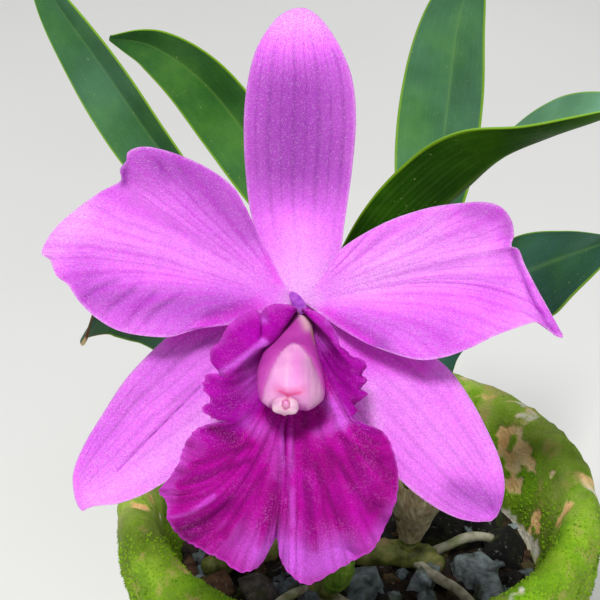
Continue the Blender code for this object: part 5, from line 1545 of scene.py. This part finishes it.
# Ribs of the lip: the turn of its foot in degrees, its place at the margin, its place midway
LIP = (
    (100, (-0.5, -1.7, 7), (-0.7, -1.8, 4.8)), (113, (-2.4, -0.9, 8.5), (-1.5, -2.6, 7)),
    (126, (-5, -0.8, 9), (-2.6, -3.9, 8.6)), (134, (-6.8, -1.4, 9.5), (-3.6, -5.1, 9.6)),
    (139, (-7.9, -2.7, 8.7), (-4.2, -5.7, 10.2)), (143, (-8.9, -2, 9.6), (-4.7, -6.3, 10.6)),
    (149, (-10.2, -2.3, 9.6), (-5.4, -7.3, 11)), (159, (-12.6, -3.6, 9.3), (-7, -8.8, 12)),
    (168, (-14.6, -5.6, 9), (-8.8, -9.7, 12.5)), (176, (-16, -8.2, 8.5), (-10.2, -10.8, 12.5)),
    (183, (-17.8, -10, 8), (-11.2, -11.8, 12.2)), (190, (-17.8, -12.2, 8.5), (-11.8, -12.8, 11.6)),
    (196, (-16.4, -13.8, 9.6), (-11.8, -13.8, 10.8)), (201, (-16.2, -14.8, 9.8), (-11.6, -14.7, 10)),
    (206, (-18.4, -14.8, 9.2), (-11.6, -15.6, 9.2)), (211, (-19.4, -16.8, 8.8), (-11.6, -16.6, 8.5)),
    (215, (-19.1, -18.2, 9), (-11.3, -17.5, 8.1)), (218, (-17.8, -20.2, 8.7), (-11, -18.1, 7.8)),
    (221, (-19.6, -21.5, 8.6), (-10.8, -18.7, 7.5)),
    (227, (-17.6, -23.6, 8.8), (-10, -19.6, 7)), (232, (-14.6, -24.2, 8.4), (-9, -20.4, 6.6)),
    (236, (-18, -24.8, 7.5), (-9.8, -23, 6.8)), (239, (-21, -26, 7), (-10.8, -25.2, 7)),
    (242, (-23.2, -29.4, 6.5), (-11.6, -27.4, 7.5)), (245, (-24.2, -32.4, 6.3), (-12, -29.2, 8)),
    (248, (-26.4, -36, 5.8), (-12.4, -30.8, 8.4)), (251, (-28.2, -38.2, 5), (-12.4, -32.2, 8.8)),
    (254, (-26.6, -40.6, 6.5), (-11.8, -33, 9)), (257, (-26.4, -44, 7.5), (-11.2, -34, 9)),
    (260, (-24, -47.2, 5), (-10.2, -34.6, 8.4)), (262, (-20, -49.8, 4.6), (-8.6, -34.8, 8)),
    (264, (-15.6, -52, 7), (-7, -34.8, 8.2)), (266, (-12, -54.4, 9), (-5.4, -34.6, 8.6)),
    (268, (-8, -53, 8.5), (-3.9, -34, 8.8)), (270, (-4.8, -47.6, 6.5), (-2.8, -32, 9)),
    (272, (-3.8, -52, 8.5), (-1.9, -32.6, 9.1)), (274, (-1.4, -55.4, 10), (-0.6, -33, 9.2)),
    (276, (1.6, -56.9, 10.5), (0.8, -33, 9.3)), (279, (6, -54.8, 9), (3, -32.8, 9.2)),
    (282, (10.4, -52.2, 6.5), (5.2, -32.4, 9)), (285, (14.4, -50, 8.5), (7.2, -31.6, 9)),
    (288, (17, -45.4, 6.5), (9, -30.4, 8.8)), (291, (19.2, -40, 7), (10.2, -28.8, 8.6)),
    (294, (19.6, -35, 5.8), (10.8, -27, 8.2)), (297, (18.6, -30, 7), (10.8, -25.4, 7.8)),
    (301, (16.6, -26.4, 6), (10.2, -23.8, 7.4)), (305, (13.2, -24.9, 7), (9.4, -22.4, 7)),
    (308, (10.2, -23.5, 8), (8.1, -19.8, 6.8)), (312, (11.7, -22.1, 8.6), (8.4, -18.8, 7.2)),
    (317, (10.6, -20.9, 7.8), (8.7, -17.8, 7.6)), (322, (13.5, -18.9, 8.6), (9.1, -16.7, 8.2)),
    (328, (12, -17.7, 7.8), (9.3, -15.6, 8.9)), (334, (13.4, -15.9, 8.6), (9.4, -14.6, 9.4)),
    (340, (12.2, -14.9, 8), (9.4, -13.6, 10)), (346, (13.3, -13, 8.8), (9.3, -12.6, 10.5)),
    (352, (12, -11.7, 8.4), (8.8, -11.6, 10.8)), (358, (10.3, -11.3, 8.2), (8.3, -10.9, 11)),
    (364, (9.1, -10, 8.8), (7.8, -10, 11)), (370, (7.7, -9.1, 9.2), (7, -9, 11)),
    (380, (7.3, -6.8, 8.8), (6.2, -7.5, 10.6)),
    (400, (5.2, -3.8, 8), (4.1, -5.2, 9)), (420, (2.6, -2.1, 7.5), (2.2, -3.4, 7.2)),
    (440, (0.6, -1.7, 7), (0.5, -1.8, 4.8)),
)
# How far the margin's small teeth stand out, by the turn of the rib they are on
LIP_TEETH = ((100, 0.04), (190, 0.06), (202, 0.2), (236, 0.22), (245, 0.16), (300, 0.16), (366, 0.1),
             (440, 0.04))
# Folds and tones are lines over the lip, as on the petals. Many of its tones are painted light
# and shade: the column's shadow on the apron, highlights along its pleats, shade under and inside
# its lobes and light where those lie in shadow. Others are its darker stripes.
LIP_FOLDS = (
    (((-26.4, -43.8), (-21.7, -42.6), (-15.4, -37.9)), 0.55, 0.6),
    (((-24.6, -46.6), (-19.8, -45.8)), 0.5, 0.5),
    (((-25, -46.2), (-20, -44.6), (-15, -41.2), (-11.4, -39.9)), 1.3, -1.2),
    (((-17, -25.5), (-12, -26)), 1.2, -0.9),
    (((-23, -30.5), (-16, -31)), 0.8, 0.5),
    (((-3.9, -26), (-3.6, -36)), 0.55, 0.5),
    (((-1.8, -26), (-1.7, -34), (-1.4, -45)), 0.55, 0.5),
    (((-2.8, -25), (-2.7, -36), (-2.8, -46)), 0.5, -0.35),
    (((7.4, -49.2), (13, -51.2)), 0.7, -1),
    (((7.5, -44.5), (10.8, -49.2)), 0.6, 0.7),
    (((13.1, -40.2), (19, -42.2)), 0.6, -0.8),
    (((9, -30), (17.5, -33)), 0.7, -0.4),
    (((-6.4, -7.4), (-9.2, -10), (-12.4, -13), (-14.4, -14.6)), 0.6, 0.8),
    (((-7.6, -2.4), (-8, -8.6)), 0.5, -1),
)
LIP_TONES = (
    (((-16, -45), (-9, -52)), 3.6, 0.5),
    (((-4.2, -50.4), (1.5, -52.8), (8, -51.6)), 4.4, 1.2),
    (((15, -48), (18.5, -42)), 1.6, 0.6),
    (((-27, -40), (-23.5, -31)), 1.8, 0.45),
    (((-26.4, -43.6), (-21.7, -42.4), (-17, -39.2)), 0.26, 0.6),
    (((-24.4, -46.5), (-20, -45.7)), 0.32, 0.7),
    (((-25, -46.2), (-20, -44.6), (-14, -41.4)), 1.6, -0.8),
    (((-22.5, -47.2), (-15.5, -46.4)), 2.2, -0.4),
    (((-6.8, -22.6), (-3, -26.6)), 1.4, -0.2),
    (((-1, -27), (3.2, -23.4)), 1.4, -0.2),
    (((-17.6, -25.4), (-13.6, -27.6)), 1.8, -0.9),
    (((-20.6, -26.6), (-20, -31)), 1.6, 0.2),
    (((-10.6, -24.6), (-8.4, -26.2)), 1.7, 0.45),
    (((-6, -24), (-4, -36)), 2, 0.25),
    (((-3.6, -25), (-3.4, -33)), 0.45, 0.5),
    (((-1.9, -26), (-1.7, -34)), 0.45, 0.45),
    (((-2.7, -25), (-2.9, -38)), 0.3, -0.5),
    (((-9.6, -13.6), (-10.4, -17.6)), 2.1, 0.42),
    (((-1.6, -38), (-1.4, -45)), 0.45, 0.45),
    (((6.2, -20.6), (8.6, -24.4)), 1.8, 0.8),
    (((3.4, -26.4), (8.5, -25)), 1.3, 0.4),
    (((11, -20.2), (11.8, -22.6)), 0.8, -0.8),
    (((9, -9), (10, -18)), 2.2, -0.1),
    (((2.9, -5.4), (5.2, -9)), 1.2, 0.45),
    (((-7.2, -8.5), (-12, -12), (-15.6, -14.4)), 0.6, 0.8),
    (((-7.2, -3.7), (-7, -4.1)), 0.7, 1),
    (((-7.4, -8.4), (-7.2, -8.7)), 0.6, 0.8),
    (((7.4, -6.6), (7.8, -8.4)), 0.7, 0.7),
    (((5.2, -4.4), (5.5, -4.9)), 0.5, 0.9),
    (((-21, -33), (-10, -29)), 0.7, -0.6),
    (((-24, -37), (-10, -32)), 0.7, -0.6),
    (((-15, -47), (-7, -34)), 0.7, -0.5),
    (((-8, -49), (-5, -37)), 0.6, -0.4),
    (((3, -50), (1, -36)), 0.6, -0.5),
    (((8, -45), (3, -33)), 0.8, -0.6),
    (((14, -42), (6, -30)), 0.7, -0.6),
    (((18, -35), (8, -27)), 0.7, -0.5),
    (((15, -29), (9, -25)), 0.8, -0.4),
)
# The small tongue: places along it and its half width at each
FLAP = ((0.7, -2.6, 4.6), (0.2, -1.4, 5.0), (-0.6, -0.2, 4.6), (-1.3, 0.8, 3.6), (-1.9, 1.5, 2.6))
FLAP_WIDTHS = (0.5, 0.95, 1.0, 0.75, 0.15)
FLAP_ACROSS = np.array((0.84, 0.54, 0.0))
FLAP_HALF = 0.2
FLAP_ROWS = 18
FLAP_COLUMNS = 9


def make_lip():
    count = (len(LIP) - 1) * LIP_RIBS_BETWEEN + 1
    turns = spline([(rib[0],) for rib in LIP], count)[:, 0]
    angle = np.radians(turns)
    foot = np.stack([LIP_CENTRE[0] + LIP_FOOT_RADIUS * np.cos(angle),
                     LIP_CENTRE[1] + LIP_FOOT_RADIUS * np.sin(angle), np.full(count, LIP_OUT)], -1)
    margin = spline([rib[1] for rib in LIP], count)
    middle = spline([rib[2] for rib in LIP], count)
    grid = rib_grid(foot, middle, margin, LIP_STEPS)
    r = np.linspace(0, 1, LIP_STEPS)[:, None]
    apron = (smooth(turns, 236.0, 244.0) * (1 - smooth(turns, 298.0, 306.0)))[None]
    reach = np.linalg.norm(margin - foot, axis=1)[None]
    phase = np.cumsum(np.linalg.norm(np.gradient(margin, axis=0), axis=1))[None]
    pleat = np.sin(phase * 1.9 + 1.2 * np.sin(phase * 0.37)) * smooth(r, 0.3, 0.85)
    frill = np.sin(phase * 1.05 + 0.8) * smooth(r, 0.72, 1.0)
    frill = frill + 0.7 * np.sin(phase * 2.3) * smooth(r, 0.88, 1.0)
    grid[..., 2] += apron * (0.2 * pleat + 0.45 * frill) + (1 - apron) * 0.28 * frill
    grid[..., 2] += 0.22 * rough(grid, 4.0, 3) * smooth(r, 0.15, 0.4)
    bite = np.interp(turns, *np.array(LIP_TEETH, float).T)[None]
    teeth = bite * np.sin(phase * 3.4 + 1.5 * np.sin(phase * 1.3)) * smooth(r, 0.88, 1.0)
    outwards = (margin - middle)[:, :2]
    outwards = outwards / np.linalg.norm(outwards, axis=1, keepdims=True)
    grid[..., :2] += teeth[..., None] * outwards[None]
    grid = with_claw(folded(grid, LIP_FOLDS), 1.2, LIP_CENTRE)
    r = np.concatenate([np.zeros((len(CLAW_STEPS), 1)), r])
    from_edge = (1 - r) * reach
    half = PETAL_HALF * (0.3 + 0.7 * smooth(from_edge, 0.0, 2.0))
    marks = {"from_edge": np.clip(from_edge / 8.0, 0, 1), "apron": apron * np.ones_like(r),
             "light_and_tone": lit_and_toned(grid, LIP_TONES), "violet": np.zeros(grid.shape[:2])}
    return joined("lip_blade", two_faced("blade", seen(grid), half, marks), make_flap())


def make_flap():
    """The small tongue at the head of the lip, turned up between the petals' claws."""
    spine = spline(FLAP, FLAP_ROWS)
    widths = spline([(width,) for width in FLAP_WIDTHS], FLAP_ROWS)
    share = np.linspace(-1, 1, FLAP_COLUMNS)[None, :, None]
    grid = spine[:, None] + FLAP_ACROSS * share * widths[:, None]
    grid[..., 2] -= 0.5 * share[..., 0] ** 2
    flat = np.ones((FLAP_ROWS, FLAP_COLUMNS))
    from_edge = (1 - np.abs(share[..., 0])) * flat
    marks = {"from_edge": from_edge, "apron": flat * 0, "light_and_tone": flat * 0.2, "violet": flat}
    return two_faced("flap", seen(grid), FLAP_HALF, marks)


def lip_magenta():
    material, where = finish(
        "lip_magenta", Specular_IOR_Level=0.06, Subsurface_Weight=0.4, Subsurface_Radius=(1.0, 0.05, 0.8),
        Subsurface_Scale=0.0016)
    spread = cloud(where, 130.0, 4.0)
    apron = graded(spread, (0.3, 152, 0, 120), (0.52, 174, 0, 146), (0.75, 192, 4, 172))
    lobe = graded(spread, (0.3, 146, 0, 142), (0.55, 172, 2, 166), (0.75, 186, 10, 182))
    depth = number("MULTIPLY_ADD", mark(where, "apron"), 0.3, 0.26)
    lines = number("MULTIPLY", vein_lines(where, 15.0, 0.012, 0.24), depth)
    skin = node("ShaderNodeGroup", {"Where": where, "Size": CELLS_PER_METRE * 1.2}, node_tree=cells).outputs
    colour = layered(
        mixed(mark(where, "apron"), lobe, apron),
        # painted light and shade from the tone marks, and the lip's darker stripes
        (mark(where, "light_and_tone", -1.0), 96, 0, 72), (mark(where, "light_and_tone"), 208, 96, 222),
        (between(mark(where, "from_edge"), 0.0, 0.16, 0.55, 0.0), 206, 84, 206),
        (lines, 104, 0, 84), (between(skin["Shade"], 0.0, 1.0, 0.0, 0.4), 118, 0, 110))
    violet = graded(cloud(where, 700.0, 3.0), (0.35, 150, 60, 186), (0.65, 198, 112, 214))
    # painted glints on some cells, in patches
    glint = number("MULTIPLY", skin["Sparkle"], in_patches(where, 150.0, 3.0, 0.4, 0.62, 0.17, 0.04))
    colour = layered(mixed(mark(where, "violet"), colour, violet), (glint, 250, 160, 240))
    height = number("MULTIPLY_ADD", lines, -1.6, skin["Height"])
    return fed(material, Base_Color=colour, Roughness=between(skin["Sparkle"], 0.0, 1.0, 0.6, 0.45),
               Normal=bumped(height, 0.00018, 0.8))


dress(make_lip(), lip_magenta(), "lip", "lip")


# The column
# The waxy club at the bloom's heart that joins its stamen and style. Pink wings run down its
# sides round a pale shield, and a red mark shows where the anther cap sits at its tip.
COLUMN_FOOT = np.array((0.2, -4.4, 2.5))
COLUMN_TIP = np.array((-1.9, -19.9, 15.8))
# Along the column: how far, its half width and its half depth
COLUMN_SHAPE = ((0, 2.3, 2.2), (0.15, 2.8, 2.5), (0.3, 3.5, 2.8), (0.45, 4.4, 3.1), (0.6, 5.4, 3.3),
                (0.75, 6.2, 3.4), (0.87, 6.5, 3.2), (0.94, 6.1, 2.9), (0.98, 5.2, 2.4), (1, 3.9, 1.7))
# Swells of the column's left side: how high, as seen, how tall and how far they stand out
COLUMN_SWELLS = ((-8.8, 3.2, 2.0), (-13.5, 3.0, 1.1), (-20.8, 1.4, 0.7))
COLUMN_RINGS = 110
COLUMN_SIDES = 96
# Soft marks on the column: a line as seen, and its width. The mark at the hood's crest is a
# painted highlight, and the one down the shield's right side is painted shade.
COLUMN_MARKS = {
    "stem": (((-2.35, -18.9), (-2.7, -20.4)), 0.45),
    "painted_side_shade": (((2.2, -12.6), (3.2, -16), (3.4, -20.6)), 1.9),
    "painted_crest_highlight": (((0.5, -2.8), (1.6, -5.2)), 1),
    "wing": (((2.5, -6.2), (3.3, -8.6)), 0.4),
}
# Edges of the shield as seen: how high, and how far across
SHIELD_LEFT = ((-22.6, -3.6), (-21.8, -6.2), (-20, -7.5), (-17.6, -7.1), (-13.6, -5.7), (-10.4, -3.8),
               (-8.4, -1.6))
SHIELD_RIGHT = ((-22.6, 1.6), (-21.8, 3.2), (-20.4, 4.4), (-18.4, 4.7), (-15, 3.7), (-11.6, 2.2),
                (-9.2, 0.2), (-8.4, -1.2))


def column_axes():
    axis = COLUMN_TIP - COLUMN_FOOT
    ahead = unit(axis)
    side = unit(np.array((1.0, 0.0, 0.0)) - ahead * ahead[0])
    back = np.cross(ahead, side)
    return axis, ahead, side, back if back[2] > 0 else -back


def column_rings(centres, widths, depths, sides):
    """Rings of the column: arched on its back, flatter on the side that faces the lip."""
    _, _, side, back = column_axes()
    turns = full_turn(sides)[None, :, None]
    depth = np.sin(turns) * np.where(np.sin(turns) < 0, 0.7, 1.0)
    across = side * widths[:, None, None] * np.cos(turns)
    return centres[:, None] + across + back * depths[:, None, None] * depth


def as_seen(points):
    """Where the eye sees points of the bloom over its plane."""
    return points[..., :2] / (1 - points[..., 2:] / SIGHT_DISTANCE)


def painted(points, line, width):
    """A soft mark along a line over the bloom, as it is seen."""
    gap, _ = from_line(as_seen(points), line)
    return bell(gap, width)


def make_column():
    axis, ahead, side, back = column_axes()
    fine = even(spline(COLUMN_SHAPE, 200), COLUMN_RINGS)
    up = fine[:, 0]
    centres = COLUMN_FOOT + axis * up[:, None] + back * (1.2 * np.sin(math.pi * up))[:, None]
    rings = column_rings(centres, fine[:, 1], fine[:, 2], COLUMN_SIDES)
    on_left = smooth(-((rings - centres[:, None]) @ side) / fine[:, 1:2], 0.0, 1.0)
    height = as_seen(rings)[..., 1]
    swell = sum(out * bell(height - at, width) for at, width, out in COLUMN_SWELLS)
    rings = rings - side * (swell * on_left)[..., None]
    sight = as_seen(rings)
    left = np.interp(sight[..., 1], *np.array(SHIELD_LEFT).T)
    right = np.interp(sight[..., 1], *np.array(SHIELD_RIGHT).T)
    inside = np.minimum(sight[..., 0] - left, right - sight[..., 0])
    facing = (rings - centres[:, None]) @ back > -0.5
    below = smooth(-sight[..., 1], 8.2, 9.4) * facing
    shield = smooth(inside, -0.25, 0.25) * below
    groove = bell(inside, 0.35) * below
    midline = painted(rings, ((-1.3, -10.0), (-2.4, -18.0)), 0.35)
    rings = rings + back * (0.35 * shield - 0.3 * groove - 0.12 * midline * shield)[..., None]
    lobes = painted(rings, ((-5.9, -21.0), (-5.9, -22.4)), 1.6)
    lobes += 0.9 * painted(rings, ((1.6, -21.0), (1.6, -22.4)), 1.8)
    rings = rings + ahead * (1.1 * lobes * smooth(up, 0.86, 1.0)[:, None])[..., None]
    marks = {
        "shield": shield, "groove": groove,
        "blush": painted(rings, ((-0.4, -12.0), (-0.9, -17.6)), 1.3) * shield,
        "mark": np.maximum(0.4 * painted(rings, ((-4.4, -17.8), (-2.4, -18.5), (0.4, -18.0)), 1.0),
                           0.9 * painted(rings, ((-4.1, -18.2), (-2.3, -19.0), (0.0, -18.5)), 0.42)),
        **{key: painted(rings, line, width) for key, (line, width) in COLUMN_MARKS.items()},
    }
    return lofted("column_body", place(rings), marks)


def column_pink():
    material, where = finish(
        "column_pink", Specular_IOR_Level=0.4, Coat_Weight=0.12, Coat_Roughness=0.4, Roughness=0.5,
        Subsurface_Weight=0.2, Subsurface_Radius=(1.0, 0.5, 0.8), Subsurface_Scale=0.0015)
    streak = cloud(where, 420.0, 3.0, stretch=(1.0, 0.12, 0.12))
    hood = layered(
        graded(cloud(where, 160.0, 4.0), (0.3, 150, 34, 134), (0.7, 176, 60, 158)),
        # painted highlight at the hood's crest
        (mark(where, "painted_crest_highlight", 0.55), 236, 206, 196), (mark(where, "wing", 0.6), 206, 176, 110))
    pale = layered(
        graded(cloud(where, 260.0, 4.0), (0.3, 192, 112, 178), (0.65, 206, 142, 188)),
        # painted shade down the shield's right side
        (mark(where, "blush", 0.5), 200, 92, 182), (mark(where, "painted_side_shade", 0.75), 150, 90, 136),
        (between(streak, 0.5, 0.64, 0.0, 0.18), 220, 190, 200))
    scar = number("MAXIMUM", mark(where, "mark"), mark(where, "stem"))
    colour = layered(
        mixed(mark(where, "shield"), hood, pale),
        (mark(where, "groove", 0.3), 200, 110, 180), (number("MULTIPLY", scar, 0.85), 196, 34, 104))
    return fed(material, Base_Color=colour, Normal=bumped(cloud(where, 2600.0, 3.0), 0.00008, 0.8))


column_finish = column_pink()
dress(make_column(), column_finish, "column", "column")


# The anther cap
# A small waxy cap, cleft in the middle, that covers the pollen at the column's tip. It sits a
# little to the left of the column's middle.
CAP_LENGTH = 2.6
CAP_LEFT = 0.8
CAP_BACK = 0.5
# Along the cap: how far, its half width and its half depth
CAP_SHAPE = ((-0.7, 1.0, 0.5), (-0.35, 1.9, 1.2), (0.0, 2.4, 1.75), (0.35, 2.6, 2.0), (0.7, 2.5, 1.8),
             (0.92, 2.1, 1.1), (1.0, 1.3, 0.5))
CAP_RINGS = 64
CAP_SIDES = 64


def make_cap():
    _, ahead, side, back = column_axes()
    fine = spline(CAP_SHAPE, CAP_RINGS)
    centres = COLUMN_TIP + ahead * (GAP + CAP_LENGTH * fine[:, :1]) - side * CAP_LEFT + back * CAP_BACK
    rings = column_rings(centres, fine[:, 1], fine[:, 2], CAP_SIDES)
    cleft = painted(rings, ((-3.1, -21.8), (-3.2, -23.8)), 0.4)
    gap, _ = from_line(as_seen(rings), ((-2.8, -20.5), (-2.75, -20.9)))
    bead = np.exp(-((gap / 0.62) ** 4))
    outline = bell(gap - 0.72, 0.2)
    stem = painted(rings, ((-2.35, -18.9), (-2.7, -20.2)), 0.45)
    above = smooth(as_seen(rings)[..., 1], -20.2, -19.2) * (1 - stem)
    rings = rings + back * (0.35 * bead - 0.25 * outline - 0.4 * cleft)[..., None]
    return lofted("cap_body", place(rings), {
        "bead": bead, "mark": np.maximum(outline * (1 - stem), stem), "cleft": cleft, "above": above})


def cap_white():
    material, where = finish(
        "cap_white", Specular_IOR_Level=0.5, Coat_Weight=0.25, Coat_Roughness=0.3, Roughness=0.4,
        Subsurface_Weight=0.2, Subsurface_Radius=(1.0, 0.6, 0.8), Subsurface_Scale=0.0015)
    colour = layered(
        graded(cloud(where, 500.0, 4.0), (0.3, 196, 138, 178), (0.6, 214, 176, 192)),
        (mark(where, "above"), 202, 132, 180), (mark(where, "cleft", 0.45), 200, 130, 170),
        (mark(where, "bead", 0.8), 206, 112, 180), (mark(where, "mark", 0.8), 170, 50, 112))
    return fed(material, Base_Color=colour, Normal=bumped(cloud(where, 2600.0, 3.0), 0.00008, 0.8))


dress(make_cap(), cap_white(), "cap", "anther_cap")


# The floor, the light and the camera
# A pale floor, a high soft key light from the front and a little left, a soft fill, and a camera
# that looks straight into the bloom from 450 mm away.
FLOOR_HALF = 3.0
VIEW_WIDTH = 120.0
SENSOR_WIDTH = 36.0
SKY_COLOUR = (0.92, 0.95, 1.0, 1.0)
SKY_STRENGTH = 0.38


def make_floor():
    bpy.ops.mesh.primitive_plane_add(size=FLOOR_HALF * 2, location=(0.0, 0.0, -0.0002))
    floor = bpy.context.object
    floor.name = "floor"
    material, where = finish("floor_pale", Roughness=0.9, Specular_IOR_Level=0.2)
    shade = graded(cloud(where, 3.0, 2.0), (0.3, 222, 221, 217), (0.7, 232, 231, 228))
    floor.data.materials.append(fed(material, Base_Color=shade))


def make_light(name, height, left, distance, size, power):
    """A square light that shines at the bloom from a height and a turn in degrees."""
    up = math.radians(height)
    turn = math.radians(left)
    towards = Vector((-math.sin(turn) * math.cos(up), -math.cos(turn) * math.cos(up), math.sin(up)))
    lamp = bpy.data.lights.new(name, "AREA")
    lamp.shape = "SQUARE"
    lamp.size = size
    lamp.energy = power
    thing = bpy.data.objects.new(name, lamp)
    bpy.context.scene.collection.objects.link(thing)
    thing.location = Vector(HUB * MM) + towards * distance
    thing.rotation_mode = "QUATERNION"
    thing.rotation_quaternion = towards.to_track_quat("Z", "Y")


def make_camera():
    lens = bpy.data.cameras.new("camera")
    lens.sensor_width = SENSOR_WIDTH
    lens.lens = SENSOR_WIDTH * SIGHT_DISTANCE / VIEW_WIDTH
    lens.clip_start = 0.02
    camera = bpy.data.objects.new("camera", lens)
    bpy.context.scene.collection.objects.link(camera)
    camera.location = Vector(place((0.0, 0.0, SIGHT_DISTANCE)) * MM)
    camera.rotation_euler = (math.pi / 2 - BLOOM_TILT, 0.0, 0.0)
    bpy.context.scene.camera = camera


make_floor()
make_light("key", height=62.0, left=14.0, distance=1.4, size=0.26, power=23.5)
make_light("fill", height=25.0, left=-35.0, distance=1.6, size=1.4, power=4.0)
make_camera()
world = bpy.data.worlds.new("studio")
world.use_nodes = True
sky = world.node_tree.nodes["Background"]
sky.inputs["Color"].default_value = SKY_COLOUR
sky.inputs["Strength"].default_value = SKY_STRENGTH
bpy.context.scene.world = world
bpy.context.scene.view_settings.view_transform = "Standard"
